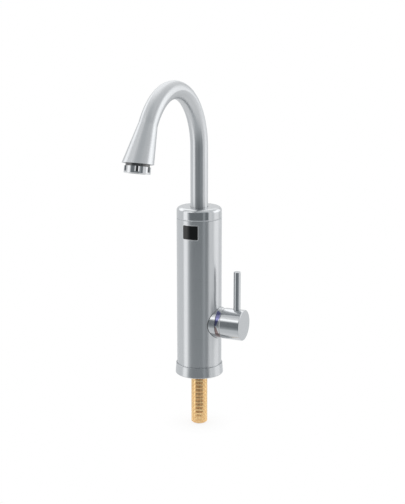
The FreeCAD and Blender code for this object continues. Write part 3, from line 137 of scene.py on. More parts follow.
class TapTrim(bpy.types.PropertyGroup):
    """Sizes of the pieces that are modelled here."""

    thread_pitch: bpy.props.FloatProperty(
        name="Thread pitch", description="Rise of the shank's thread in one turn", unit="LENGTH",
        min=0.0005, max=0.005, default=25.4 * MM / 14)
    thread_depth: bpy.props.FloatProperty(
        name="Thread depth", description="Depth of the shank's thread", unit="LENGTH",
        min=0.0002, max=0.003, default=0.4 * MM)
    bezel_width: bpy.props.FloatProperty(
        name="Bezel width", description="Width of the bright edge round the window", unit="LENGTH",
        min=0.0001, max=0.003, default=0.9 * MM)
    bezel_height: bpy.props.FloatProperty(
        name="Bezel height", description="How far the bright edge stands off the sleeve", unit="LENGTH",
        min=0.00005, max=0.001, default=0.18 * MM)
    # The collar's seal is a dark ring that paints the shadow line between collar and sleeve: painted shade
    shade_seal_radius: bpy.props.FloatProperty(
        name="Seal radius", description="Half the thickness of the seal round the collar's foot",
        unit="LENGTH", min=0.0001, max=0.001, default=0.45 * MM)
    bead_radius: bpy.props.FloatProperty(
        name="Bead radius", description="Half the thickness of the bead in the seam above the base",
        unit="LENGTH", min=0.0001, max=0.001, default=0.42 * MM)
    washer_inset: bpy.props.FloatProperty(
        name="Washer inset", description="How far the slip washer lies below the retainer's edge",
        unit="LENGTH", min=0.0, max=0.002, default=0.05 * MM)


class TapStudio(bpy.types.PropertyGroup):
    """Camera and light."""

    camera_azimuth: bpy.props.FloatProperty(
        name="Camera azimuth", description="Angle of the camera from the front towards the handle",
        subtype="ANGLE", default=math.radians(23.797))
    camera_distance: bpy.props.FloatProperty(
        name="Camera distance", description="Level distance from the column's axis to the camera",
        unit="LENGTH", min=0.1, max=5.0, default=1.3684)
    camera_height: bpy.props.FloatProperty(
        name="Camera height", description="Height of the camera above the deck", unit="LENGTH",
        min=-1.0, max=3.0, default=0.4735)
    camera_pitch: bpy.props.FloatProperty(
        name="Camera pitch", description="How far the camera looks down", subtype="ANGLE",
        default=math.radians(12.942))
    camera_yaw: bpy.props.FloatProperty(
        name="Camera yaw", description="How far the camera turns off the column's axis", subtype="ANGLE",
        default=math.radians(-0.173))
    lens_length: bpy.props.FloatProperty(
        name="Lens", description="Focal length of the camera in millimetres", min=10, max=300,
        default=79.2)
    softbox_power: bpy.props.FloatProperty(
        name="Softbox", description="Power of the soft lamp on the left", unit="POWER", min=0, max=50,
        default=0.7)


# Node helpers

def start_material(name):
    """Empty node material with one principled shader; gives the material, its tree and the shader."""
    material = bpy.data.materials.new(name)
    material.use_nodes = True
    tree = material.node_tree
    tree.nodes.clear()
    output = tree.nodes.new("ShaderNodeOutputMaterial")
    shader = tree.nodes.new("ShaderNodeBsdfPrincipled")
    tree.links.new(shader.outputs["BSDF"], output.inputs["Surface"])
    return material, tree, shader


def feed(tree, value, socket):
    """Link a socket to another, or set its own value."""
    if isinstance(value, bpy.types.NodeSocket):
        tree.links.new(value, socket)
    else:
        socket.default_value = value


def worked(tree, kind, operation, values):
    """Outputs of a math node of a kind, fed with numbers, vectors or sockets."""
    node = tree.nodes.new(kind)
    node.operation = operation
    for value, socket in zip(values, node.inputs):
        feed(tree, value, socket)
    return node.outputs


def number(tree, operation, *values):
    """Math node on numbers or sockets."""
    return worked(tree, "ShaderNodeMath", operation, values)["Value"]


def vector(tree, operation, *values):
    """Vector math node that gives a vector."""
    return worked(tree, "ShaderNodeVectorMath", operation, values)["Vector"]


def measure(tree, operation, *values):
    """Vector math node that gives a number."""
    return worked(tree, "ShaderNodeVectorMath", operation, values)["Value"]


def stretch(tree, direction, length):
    """A vector times a number."""
    node = tree.nodes.new("ShaderNodeVectorMath")
    node.operation = "SCALE"
    feed(tree, direction, node.inputs[0])
    feed(tree, length, node.inputs["Scale"])
    return node.outputs["Vector"]


def object_point(tree):
    """The surface point in the piece's own coordinates."""
    return tree.nodes.new("ShaderNodeTexCoord").outputs["Object"]


def split(tree, source):
    """The three numbers of a vector."""
    node = tree.nodes.new("ShaderNodeSeparateXYZ")
    feed(tree, source, node.inputs["Vector"])
    return node.outputs["X"], node.outputs["Y"], node.outputs["Z"]


def join(tree, x, y, z):
    """A vector of three numbers."""
    node = tree.nodes.new("ShaderNodeCombineXYZ")
    for value, name in zip((x, y, z), "XYZ"):
        feed(tree, value, node.inputs[name])
    return node.outputs["Vector"]


def noise(tree, point, scale, detail=2.0):
    """Soft noise from 0 to 1."""
    node = tree.nodes.new("ShaderNodeTexNoise")
    feed(tree, point, node.inputs["Vector"])
    feed(tree, scale, node.inputs["Scale"])
    feed(tree, detail, node.inputs["Detail"])
    return node.outputs[0]


def crystals(tree, feature, scale):
    """Outputs of a cell pattern on the piece."""
    node = tree.nodes.new("ShaderNodeTexVoronoi")
    node.feature = feature
    feed(tree, object_point(tree), node.inputs["Vector"])
    feed(tree, scale, node.inputs["Scale"])
    return node.outputs


def remap(tree, value, low, high, new_low, new_high):
    """Carry one range of numbers to another, clamped."""
    node = tree.nodes.new("ShaderNodeMapRange")
    names = ("Value", "From Min", "From Max", "To Min", "To Max")
    for item, name in zip((value, low, high, new_low, new_high), names):
        feed(tree, item, node.inputs[name])
    return node.outputs["Result"]


def mixed(tree, share, first, second):
    """Colour between two colours."""
    node = tree.nodes.new("ShaderNodeMix")
    node.data_type = "RGBA"
    feed(tree, share, node.inputs[0])
    feed(tree, first, node.inputs[6])
    feed(tree, second, node.inputs[7])
    return node.outputs[2]


def bumped(tree, height, strength, distance):
    """Normal from a height, in metres of relief."""
    node = tree.nodes.new("ShaderNodeBump")
    feed(tree, strength, node.inputs["Strength"])
    feed(tree, distance, node.inputs["Distance"])
    feed(tree, height, node.inputs["Height"])
    return node.outputs["Normal"]


def to_world(tree, direction):
    """A direction of the piece turned with the piece."""
    node = tree.nodes.new("ShaderNodeVectorTransform")
    node.vector_type = "VECTOR"
    node.convert_from = "OBJECT"
    node.convert_to = "WORLD"
    feed(tree, direction, node.inputs["Vector"])
    return node.outputs["Vector"]


def shaded(colour, share):
    """A colour with each part times a share, with full alpha."""
    return tuple(min(part * share, 1.0) for part in colour) + (1.0,)


def varied(tree, share, colour, low, high):
    """A colour that goes from low to high times itself with the share."""
    return mixed(tree, share, shaded(colour, low), shaded(colour, high))


def surface(tree, shader, colour, roughness, normal=None, metal=0.0):
    """Feed a shader its colour, its roughness, its share of metal and, where one is given, its normal."""
    feed(tree, colour, shader.inputs["Base Color"])
    feed(tree, roughness, shader.inputs["Roughness"])
    feed(tree, metal, shader.inputs["Metallic"])
    if normal is not None:
        feed(tree, normal, shader.inputs["Normal"])


# Finishes

# Cells of each pattern in a metre, from the broadest to the finest
CLOUD_CELLS = 35.0       # clouds on brushed steel
GRAIN_COARSE = 60.0      # grain along a scratch
SMEAR_CELLS = 60.0       # smears on chrome
MOTTLE_CELLS = 90.0      # mottling of moulded pieces
HAZE_CELLS = 120.0       # haze on the window
PATINA_CELLS = 140.0     # patina on brass
TRACK_CELLS = 380.0      # tracks on the boards
ZINC_CELLS = 420.0       # flakes of zinc plate
GLASS_CELLS = 500.0      # waves in glass
PIT_CELLS = 900.0        # pits in brass
DRAW_CELLS = 1500.0      # draw lines on the tank
SKIN_CELLS = 1800.0      # skin of moulded pieces
PORE_CELLS = 2400.0      # pores of the magnet
LAPPED_CELLS = 2600.0    # skin of the lapped ceramic discs
PAINT_CELLS = 3000.0     # grain of the ring's paint
GRAIN_FINE = 9000.0      # grain across the scratches

# Depths of fine relief
SCRATCH_DEPTH = 0.02 * MM
SKIN_DEPTH = 0.03 * MM
PORE_DEPTH = 0.04 * MM
RIPPLE_DEPTH = 0.05 * MM

# Brushed steel and rubber
STREAK_ROUGH = 0.10      # how much roughness the streaks add at most
CLOUD_ROUGH = 0.06       # how much roughness the clouds add at most
STEEL_BLUR = 0.85        # how far the blur is drawn across the scratches
END_LEAN = 0.35          # how far the blur leans outwards on end faces
RUBBER = (0.045, 0.046, 0.048)

# The coloured marks on the ring, by the angle from its front
MARK_START = math.radians(5.0)
MARK_FULL = math.radians(35.0)
MARK_CLOSE = math.radians(55.0)
MARK_END = math.radians(68.0)
MARK_NARROW = 2.4 * MM   # width of a mark at its front end
MARK_WIDE = 5.5 * MM     # width of a mark over the ring and its retainer
MARK_SOFT = 0.1 * MM     # soft edge of a mark

# The aerator's flutes, and their rounded shoulders by the distance from a flute's middle
FLUTE_STEP = math.radians(60.0)
FLUTE_TURN = math.radians(-5.0)
FLUTE_FOOT = -8.55 * MM  # lower end of a flute, from the washer's middle
# The dark inside of each flute is painted shade: the colour is darkened where the recess is shaded
FLUTE_SHADE = 0.15       # share of the colour that is left inside a flute
SHOULDER_NEAR = 1.5 * MM
SHOULDER_FAR = 2.6 * MM
SHOULDER_SOFT = 0.3 * MM
SHOULDER_LEAN = math.tan(math.radians(44.0))

# The slow waves that the threading die left on the shank
WAVE_HEIGHT = 4.93 * MM
WAVE_DEPTH = 0.13 * MM


def grain_round(tree, axis, centre):
    """Grain point and blur direction for a piece turned about an axis: fine along it, coarse round it."""
    offset = vector(tree, "SUBTRACT", object_point(tree), centre)
    along = measure(tree, "DOT_PRODUCT", offset, axis)
    radial = vector(tree, "SUBTRACT", offset, stretch(tree, axis, along))
    outward = measure(tree, "LENGTH", radial)
    ringed = number(tree, "MULTIPLY", number(tree, "ADD", along, outward), GRAIN_FINE)
    grain = vector(tree, "ADD", stretch(tree, radial, GRAIN_COARSE), stretch(tree, axis, ringed))
    lean = stretch(tree, vector(tree, "NORMALIZE", radial), END_LEAN)
    return grain, vector(tree, "ADD", lean, axis)


def grain_on_bend(tree):
    """Grain point and blur direction for the spout: the bend is unrolled into its length and its section."""
    x, y, z = split(tree, object_point(tree))
    back = number(tree, "ADD", y, SPOUT_ARC)
    rise = number(tree, "SUBTRACT", z, ARC_HEIGHT)
    lift = number(tree, "MAXIMUM", rise, 0.0)
    turn = number(tree, "ARCTAN2", lift, back)
    bent = number(tree, "MULTIPLY", turn, SPOUT_ARC)
    length = number(tree, "ADD", bent, number(tree, "MINIMUM", rise, 0.0))
    reach = measure(tree, "LENGTH", join(tree, 0.0, back, lift))
    grain = join(
        tree, number(tree, "MULTIPLY", x, GRAIN_COARSE), number(tree, "MULTIPLY", reach, GRAIN_COARSE),
        number(tree, "MULTIPLY", length, GRAIN_FINE))
    return grain, join(tree, 0.0, number(tree, "MULTIPLY", lift, -1.0), back)


def brush(tree, shader, grain, direction, roughness):
    """Brushed steel: streaks in colour and roughness, shallow scratches and a highlight drawn across them."""
    streak = noise(tree, grain, 1.0, 3.0)
    cloud = noise(tree, object_point(tree), CLOUD_CELLS)
    colour = varied(tree, streak, bpy.context.scene.tap_finishes.steel, 0.93, 1.07)
    streaked = number(tree, "MULTIPLY", streak, STREAK_ROUGH)
    clouded = number(tree, "MULTIPLY", cloud, CLOUD_ROUGH)
    uneven = number(tree, "ADD", streaked, clouded)
    rough = number(tree, "ADD", uneven, roughness - (STREAK_ROUGH + CLOUD_ROUGH) / 2)
    surface(tree, shader, colour, rough, bumped(tree, streak, 0.10, SCRATCH_DEPTH), 1.0)
    feed(tree, to_world(tree, direction), shader.inputs["Tangent"])
    shader.inputs["Anisotropic"].default_value = STEEL_BLUR


def turned_steel(name, axis, centre, roughness):
    """Brushed steel turned about an axis."""
    material, tree, shader = start_material(name)
    grain, direction = grain_round(tree, axis, centre)
    brush(tree, shader, grain, direction, roughness)
    return material


def spout_steel(roughness):
    """Brushed steel that follows the bend of the spout."""
    material, tree, shader = start_material("spout_steel")
    grain, direction = grain_on_bend(tree)
    brush(tree, shader, grain, direction, roughness)
    return material


def smeared(tree):
    """Faint smears on plating, and the uneven roughness that they leave."""
    smear = noise(tree, object_point(tree), SMEAR_CELLS, 4.0)
    return smear, remap(tree, smear, 0.35, 0.75, 0.05, 0.11)


def polished_chrome():
    """Chrome plating with faint smears."""
    material, tree, shader = start_material("polished_chrome")
    smear, rough = smeared(tree)
    colour = varied(tree, smear, bpy.context.scene.tap_finishes.chrome, 0.97, 1.03)
    surface(tree, shader, colour, rough, metal=1.0)
    return material


def fluted_chrome():
    """Chrome of the aerator, with painted shade that darkens the inside of its flutes, and leaning inwards on
    their rounded shoulders.

    The flutes stand round the outlet's axis at even angles. The painted shade and the lean both go with the
    distance round the ring from the middle of the nearest flute.
    """
    material, tree, shader = start_material("fluted_chrome")
    offset = vector(tree, "SUBTRACT", object_point(tree), OUTLET_CENTRE)
    along = measure(tree, "DOT_PRODUCT", offset, OUTLET_AXIS)
    radial = vector(tree, "SUBTRACT", offset, stretch(tree, OUTLET_AXIS, along))
    sideways = measure(tree, "DOT_PRODUCT", offset, OUTLET_SIDE)
    angle = number(tree, "ARCTAN2", sideways, split(tree, offset)[0])
    turn = number(tree, "SUBTRACT", angle, FLUTE_TURN)
    from_flute = number(tree, "WRAP", turn, FLUTE_STEP / 2, -FLUTE_STEP / 2)
    arc = number(tree, "MULTIPLY", number(tree, "ABSOLUTE", from_flute), AERATOR_RADIUS)
    inner = remap(tree, arc, SHOULDER_NEAR - SHOULDER_SOFT, SHOULDER_NEAR, 0.0, 1.0)
    outer = remap(tree, arc, SHOULDER_FAR, SHOULDER_FAR + SHOULDER_SOFT, 1.0, 0.0)
    above = remap(tree, along, FLUTE_FOOT - SHOULDER_SOFT, FLUTE_FOOT, 0.0, 1.0)
    shoulder = number(tree, "MULTIPLY", number(tree, "MULTIPLY", inner, outer), above)
    lean = number(tree, "MULTIPLY", number(tree, "SIGN", from_flute), -SHOULDER_LEAN)
    outward = vector(tree, "NORMALIZE", radial)
    around = vector(tree, "CROSS_PRODUCT", OUTLET_AXIS, outward)
    leaning = vector(tree, "NORMALIZE", vector(tree, "ADD", outward, stretch(tree, around, lean)))
    flat = tree.nodes.new("ShaderNodeNewGeometry").outputs["Normal"]
    plain = stretch(tree, flat, number(tree, "SUBTRACT", 1.0, shoulder))
    rounded = stretch(tree, to_world(tree, leaning), shoulder)
    normal = vector(tree, "NORMALIZE", vector(tree, "ADD", plain, rounded))
    # painted shade: the colour darkens inside each flute, where the recess is shaded
    dull = number(tree, "MULTIPLY", number(tree, "SUBTRACT", 1.0, inner), above)
    colour = varied(tree, dull, bpy.context.scene.tap_finishes.chrome, 1.0, FLUTE_SHADE)
    rough = smeared(tree)[1]
    surface(tree, shader, colour, rough, normal, 1.0)
    return material


def turned_brass():
    """Bare brass with a light patina."""
    material, tree, shader = start_material("turned_brass")
    patina = noise(tree, object_point(tree), PATINA_CELLS, 4.0)
    pits = noise(tree, object_point(tree), PIT_CELLS)
    colour = varied(tree, patina, bpy.context.scene.tap_finishes.brass, 0.90, 1.06)
    rough = remap(tree, patina, 0.3, 0.8, 0.20, 0.32)
    surface(tree, shader, colour, rough, bumped(tree, pits, 0.08, SKIN_DEPTH), 1.0)
    return material


def plated_steel():
    """Zinc plate with its crystal flakes."""
    material, tree, shader = start_material("plated_steel")
    flake = split(tree, crystals(tree, "F1", ZINC_CELLS)["Color"])[0]
    colour = mixed(tree, flake, (0.54, 0.55, 0.57, 1), (0.66, 0.66, 0.65, 1))
    rough = remap(tree, flake, 0.0, 1.0, 0.26, 0.42)
    surface(tree, shader, colour, rough, metal=1.0)
    return material


def drawn_steel():
    """Drawn steel of the tank, with upright draw lines."""
    material, tree, shader = start_material("drawn_steel")
    x, y, z = split(tree, object_point(tree))
    lines = noise(tree, join(tree, x, y, number(tree, "MULTIPLY", z, 0.02)), DRAW_CELLS)
    colour = mixed(tree, lines, (0.58, 0.58, 0.57, 1), (0.68, 0.68, 0.67, 1))
    rough = remap(tree, lines, 0.2, 0.8, 0.28, 0.42)
    surface(tree, shader, colour, rough, bumped(tree, lines, 0.12, SCRATCH_DEPTH), 1.0)
    return material


def sintered_magnet():
    """Grey sintered magnet with open pores."""
    material, tree, shader = start_material("sintered_magnet")
    pores = noise(tree, object_point(tree), PORE_CELLS, 3.0)
    colour = mixed(tree, pores, (0.13, 0.13, 0.14, 1), (0.22, 0.22, 0.23, 1))
    rough = remap(tree, pores, 0.2, 0.8, 0.50, 0.70)
    surface(tree, shader, colour, rough, bumped(tree, pores, 0.3, PORE_DEPTH), 0.6)
    return material


def moulded(name, colour, roughness, relief, cells=SKIN_CELLS, index=1.5):
    """Moulded plastic, rubber or ceramic: mottled colour, uneven gloss and a fine skin."""
    material, tree, shader = start_material(name)
    skin = noise(tree, object_point(tree), cells, 3.0)
    mottle = noise(tree, object_point(tree), MOTTLE_CELLS, 3.0)
    mottled = varied(tree, mottle, colour, 0.86, 1.12)
    rough = remap(tree, skin, 0.2, 0.8, roughness - 0.05, roughness + 0.05)
    surface(tree, shader, mottled, rough, bumped(tree, skin, relief, SKIN_DEPTH))
    shader.inputs["IOR"].default_value = index
    return material


def lens_black():
    """Gloss black acrylic with the faintest haze."""
    material, tree, shader = start_material("lens_black")
    haze = noise(tree, object_point(tree), HAZE_CELLS)
    colour = varied(tree, haze, bpy.context.scene.tap_finishes.lens, 0.8, 1.3)
    surface(tree, shader, colour, remap(tree, haze, 0.3, 0.7, 0.03, 0.07))
    shader.inputs["IOR"].default_value = 1.52
    return material


def temperature_ring():
    """Turned ring with a blue mark above its front and a red one below.

    Each mark starts at the collar's edge. Its width grows with the angle from the front of the ring, up or
    down, stays full for a while and then runs to a point.
    """
    looks = bpy.context.scene.tap_finishes
    material, tree, shader = start_material("temperature_ring")
    x, y, z = split(tree, object_point(tree))
    height = number(tree, "SUBTRACT", z, HANDLE_CENTRE[2])
    lift = number(tree, "ABSOLUTE", height)
    angle = number(tree, "ARCTAN2", lift, number(tree, "MULTIPLY", y, -1.0))
    growing = remap(tree, angle, MARK_START, MARK_FULL, MARK_NARROW, MARK_WIDE)
    closing = remap(tree, angle, MARK_CLOSE, MARK_END, 1.0, 0.0)
    opening = remap(tree, angle, 0.0, MARK_START, 0.0, 1.0)
    reach = number(tree, "MULTIPLY", number(tree, "MULTIPLY", growing, closing), opening)
    past = number(tree, "SUBTRACT", number(tree, "SUBTRACT", x, COLLAR_FACE), reach)
    tint = remap(tree, past, -MARK_SOFT, MARK_SOFT, 1.0, 0.0)
    grain = noise(tree, object_point(tree), PAINT_CELLS)
    cold = varied(tree, grain, looks.cold, 0.88, 1.12)
    hot = varied(tree, grain, looks.hot, 0.88, 1.12)
    tinted = mixed(tree, remap(tree, height, -MARK_SOFT, MARK_SOFT, 0.0, 1.0), hot, cold)
    colour = mixed(tree, tint, shaded(looks.steel, 1.0), tinted)
    surface(tree, shader, colour, remap(tree, grain, 0.2, 0.8, 0.12, 0.20), metal=1.0)
    shader.inputs["Coat Weight"].default_value = 1.0
    shader.inputs["Coat IOR"].default_value = 2.1
    shader.inputs["Coat Roughness"].default_value = 0.06
    return material


def threaded_brass(trim):
    """Brass of the shank: rubbed crests, dull tarnished roots, and slow waves left by the die."""
    looks = bpy.context.scene.tap_finishes
    material, tree, shader = start_material("threaded_brass")
    x, y, z = split(tree, object_point(tree))
    reach = measure(tree, "LENGTH", join(tree, x, y, 0.0))
    crest = remap(tree, reach, SHANK_RADIUS - trim.thread_depth, SHANK_RADIUS, 0.0, 1.0)
    wave = number(tree, "SINE", number(tree, "MULTIPLY", z, 2 * math.pi / WAVE_HEIGHT))
    patina = noise(tree, object_point(tree), PATINA_CELLS, 4.0)
    colour = mixed(tree, crest, shaded(looks.thread_root, 1.0), shaded(looks.thread_crest, 1.0))
    rough = remap(tree, patina, 0.3, 0.8, 0.10, 0.16)
    normal = bumped(tree, remap(tree, wave, -1.0, 1.0, 0.0, 1.0), 1.0, WAVE_DEPTH)
    surface(tree, shader, colour, rough, normal, remap(tree, crest, 0.0, 1.0, 0.1, 1.0))
    return material


def circuit_board():
    """Solder mask over copper tracks."""
    material, tree, shader = start_material("circuit_board")
    edge = crystals(tree, "DISTANCE_TO_EDGE", TRACK_CELLS)["Distance"]
    track = remap(tree, edge, 0.06, 0.10, 1.0, 0.0)
    colour = mixed(tree, track, (0.020, 0.16, 0.065, 1), (0.05, 0.30, 0.12, 1))
    rough = remap(tree, track, 0.0, 1.0, 0.34, 0.26)
    surface(tree, shader, colour, rough, bumped(tree, track, 0.25, PORE_DEPTH))
    return material


def capsule_glass():
    """Clear glass of the reed capsule, slightly wavy."""
    material, tree, shader = start_material("capsule_glass")
    wave = noise(tree, object_point(tree), GLASS_CELLS)
    colour = mixed(tree, wave, (0.80, 0.88, 0.85, 1), (0.88, 0.93, 0.91, 1))
    rough = remap(tree, wave, 0.2, 0.8, 0.02, 0.06)
    surface(tree, shader, colour, rough, bumped(tree, wave, 0.05, RIPPLE_DEPTH))
    shader.inputs["Transmission Weight"].default_value = 0.9
    shader.inputs["IOR"].default_value = 1.5
    return material


def dress(nodes, material):
    """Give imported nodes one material."""
    for node in nodes:
        slots = frame["nodes"][node].data.materials
        slots.clear()
        slots.append(material)


def nodes_in(slot):
    """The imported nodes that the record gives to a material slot."""
    return [part["node"] for part in frame["record"]["subparts"] if part["material_slot"] == slot]


# Surfaces

def put_mesh(name, points, faces, material, crease=35.0):
    """Mesh object at the origin from an array of points and one of four-cornered faces."""
    mesh = bpy.data.meshes.new(name)
    mesh.from_pydata(points.reshape(-1, 3).tolist(), [], faces.tolist())
    mesh.update()
    mesh.shade_smooth()
    mesh.set_sharp_from_angle(angle=math.radians(crease))
    mesh.materials.append(material)
    piece = bpy.data.objects.new(name, mesh)
    bpy.context.scene.collection.objects.link(piece)
    return piece


def grid_faces(rows, columns, close_rows, close_columns):
    """Corner numbers of the faces of a grid of points, closed on itself along either side if asked."""
    down = np.arange(rows if close_rows else rows - 1)
    along = np.arange(columns if close_columns else columns - 1)
    r, c = np.meshgrid(down, along, indexing="ij")
    r_next = (r + 1) % rows
    c_next = (c + 1) % columns
    corners = (r * columns + c, r * columns + c_next, r_next * columns + c_next, r_next * columns + c)
    return np.stack(corners, axis=-1).reshape(-1, 4)


# The shank's plain sizes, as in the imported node
SHANK_BORE = 6.0 * MM
SPIGOT_RADIUS = 9.0 * MM
GROOVE_RADIUS = 7.24 * MM
GROOVE_HALF = 1.32 * MM  # half the height of the seal's groove
HEX_HALF = 13.5 * MM     # half the hexagon's width across its flats
HEX_LOW = 6.0 * MM
HEX_TOP = 9.5 * MM
HEX_STEP = np.pi / 3
PILOT_RADIUS = 12.0 * MM
TIP_CHAMFER = 1.2 * MM

THREAD_COLUMNS = 96
THREAD_STEPS = 16        # grid rows in one pitch
THREAD_ROUNDING = 9.0    # how flat the crests and roots are
CREST_SHARE = 0.3        # how much broader the crests are than the roots


def threaded_radius(angle, height, trim):
    """Radius of a worn thread.

    It is a triangle wave of height over pitch less the turn, raised and flattened by tanh.
    """
    phase = np.mod(height / trim.thread_pitch - angle / (2 * np.pi), 1.0)
    wave = 1.0 - 2.0 * np.abs(2.0 * phase - 1.0)
    return SHANK_RADIUS - trim.thread_depth * (0.5 - 0.5 * np.tanh(THREAD_ROUNDING * (wave + CREST_SHARE)))


def shank_points(trim):
    """The shank as one closed section carried round Z: bore, spigot, hexagon, pilot, thread and chamfer.

    Each row of the grid has a height and a base radius. On the hexagon's rows the radius is its half width
    over the cosine of the angle to the nearest flat, and on the thread's rows it follows the thread.
    """
    middle = (HEX_TOP + SHANK_TOP) / 2
    section = np.array([
        (SHANK_BORE, SHANK_LOW), (SHANK_BORE, SHANK_TOP), (SPIGOT_RADIUS, SHANK_TOP),
        (SPIGOT_RADIUS, middle + GROOVE_HALF), (GROOVE_RADIUS, middle + GROOVE_HALF),
        (GROOVE_RADIUS, middle - GROOVE_HALF), (SPIGOT_RADIUS, middle - GROOVE_HALF),
        (SPIGOT_RADIUS, HEX_TOP), (HEX_HALF, HEX_TOP), (HEX_HALF, HEX_LOW),
        (PILOT_RADIUS, HEX_LOW), (PILOT_RADIUS, 0.0), (SHANK_RADIUS, 0.0)])
    base = section[:, :1]
    level = section[:, 1:]
    steps = int(-SHANK_LOW / trim.thread_pitch * THREAD_STEPS)
    cut = np.linspace(0.0, SHANK_LOW, steps + 1)[1:, None]
    angle = np.linspace(2 * np.pi, 0.0, THREAD_COLUMNS, endpoint=False)[None, :]
    to_flat = np.mod(angle, HEX_STEP) - HEX_STEP / 2
    plain = np.where(base == HEX_HALF, base / np.cos(to_flat), base)
    tip = SHANK_RADIUS - TIP_CHAMFER + (cut - SHANK_LOW)
    radius = np.vstack([plain, np.minimum(threaded_radius(angle, cut, trim), tip)])
    height = np.broadcast_to(np.vstack([level, cut]), radius.shape)
    return np.stack([radius * np.cos(angle), radius * np.sin(angle), height], axis=-1)


WINDOW_LIP = 1.2 * MM    # how far the window's lip reaches past its cut-out
WINDOW_CORNER = 1.2 * MM
BEZEL_CORNER_STEPS = 8
BEZEL_SIDE_STEPS = 24
BEZEL_PROFILE = 7


def bezel_points(trim):
    """The window's bright edge: a half-round profile carried along the window's rounded outline.

    The outline is four quarter circles joined by straight sides in the XZ plane, and each point is pushed
    back to the sleeve, to y = -sqrt(R*R - x*x), and then out along the sleeve's normal by the profile.
    """
    low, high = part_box("display_window")
    side = (high.x - low.x) / 2 - WINDOW_LIP - WINDOW_CORNER
    top = high.z - WINDOW_LIP - WINDOW_CORNER
    foot = low.z + WINDOW_LIP + WINDOW_CORNER
    centres = np.array([[side, top], [-side, top], [-side, foot], [side, foot]])
    quarter = np.linspace(0.0, np.pi / 2, BEZEL_CORNER_STEPS)
    turns = (quarter[None, :] + np.arange(4)[:, None] * np.pi / 2).ravel()
    centre = np.repeat(centres, BEZEL_CORNER_STEPS, axis=0)
    normal = np.stack([np.cos(turns), np.sin(turns)], axis=1)
    line = centre + WINDOW_CORNER * normal
    share = np.arange(BEZEL_SIDE_STEPS)[None, :, None] / BEZEL_SIDE_STEPS
    after = np.roll(line, -1, axis=0)
    after_normal = np.roll(normal, -1, axis=0)
    line = (line[:, None] * (1 - share) + after[:, None] * share).reshape(-1, 2)
    normal = (normal[:, None] * (1 - share) + after_normal[:, None] * share).reshape(-1, 2)
    sweep = np.linspace(0.0, np.pi, BEZEL_PROFILE)
    outwards = trim.bezel_width * (0.5 - 0.5 * np.cos(sweep))
    stand = trim.bezel_height * np.sin(sweep)
    flat = line[:, None, :] + normal[:, None, :] * outwards[None, :, None]
    x = flat[..., 0]
    shell = BODY_RADIUS + stand[None, :]
    y = -np.sqrt(BODY_RADIUS ** 2 - x ** 2)
    scale = shell / BODY_RADIUS
    return np.stack([x * scale, y * scale, flat[..., 1]], axis=-1)


# The collar's seal is a dark rubber ring laid where shade falls between collar and sleeve: painted shade,
# thickest at the front
SHADE_SEAL_STEPS = 160
SHADE_SEAL_PROFILE = 10
SHADE_SEAL_THIN = 0.2          # share of the seal's thickness that is left at the back


def shade_seal_points(trim):
    """The dark seal round the collar's foot, which paints the shade where collar meets sleeve: a round
    profile carried along the line where collar meets sleeve.

    The line goes round the collar, y = -r cos t and z = h + r sin t, and lies on the sleeve,
    x = sqrt(R*R - y*y). The profile stands in the plane of the collar's own radius and the X axis, and
    swells towards the front, where the collar stands out furthest, with the fourth power of (1 + cos t) / 2.
    """
    turn = np.linspace(0.0, 2 * np.pi, SHADE_SEAL_STEPS, endpoint=False)
    sweep = np.linspace(0.0, 2 * np.pi, SHADE_SEAL_PROFILE, endpoint=False)
    swell = trim.shade_seal_radius * (SHADE_SEAL_THIN + (1.0 - SHADE_SEAL_THIN) * (0.5 + 0.5 * np.cos(turn)) ** 4)
    reach = COLLAR_RADIUS + swell[:, None] * np.cos(sweep)[None, :]
    line = np.sqrt(BODY_RADIUS ** 2 - (COLLAR_RADIUS * np.cos(turn)) ** 2)
    x = line[:, None] + swell[:, None] * np.sin(sweep)[None, :]
    y = -reach * np.cos(turn)[:, None]
    z = HANDLE_CENTRE[2] + reach * np.sin(turn)[:, None]
    return np.stack([x, y, z], axis=-1)


BEAD_STEPS = 160
BEAD_PROFILE = 12


def bead_points(trim):
    """The bead in the seam above the base: a circle carried round Z, against the sleeve."""
    turn = np.linspace(0.0, 2 * np.pi, BEAD_STEPS, endpoint=False)
    sweep = np.linspace(0.0, 2 * np.pi, BEAD_PROFILE, endpoint=False)
    reach = BODY_RADIUS + trim.bead_radius * (1.0 + np.cos(sweep))
    height = BASE_TOP - trim.bead_radius * (1.0 + np.sin(sweep))
    x = np.cos(turn)[:, None] * reach[None, :]
    y = np.sin(turn)[:, None] * reach[None, :]
    z = np.broadcast_to(height[None, :], x.shape)
    return np.stack([x, y, z], axis=-1)


WASHER_STEPS = 128
WASHER_BORE = 12.0 * MM
WASHER_PLAY = 0.05 * MM  # air on each side of the slip washer


def washer_points(trim):
    """The slip washer between retainer and hub: a four-cornered section carried round the hub's axis."""
    turn = np.linspace(0.0, 2 * np.pi, WASHER_STEPS, endpoint=False)
    rim = RETAINER_RADIUS - trim.washer_inset
    back = RETAINER_FACE + WASHER_PLAY
    front = HUB_BACK - WASHER_PLAY
    reach = np.array([WASHER_BORE, rim, rim, WASHER_BORE])
    depth = np.array([back, back, front, front])
    x = np.broadcast_to(depth[None, :], (WASHER_STEPS, 4))
    y = -reach[None, :] * np.cos(turn)[:, None]
    z = HANDLE_CENTRE[2] + reach[None, :] * np.sin(turn)[:, None]
    return np.stack([x, y, z], axis=-1)


# Operators

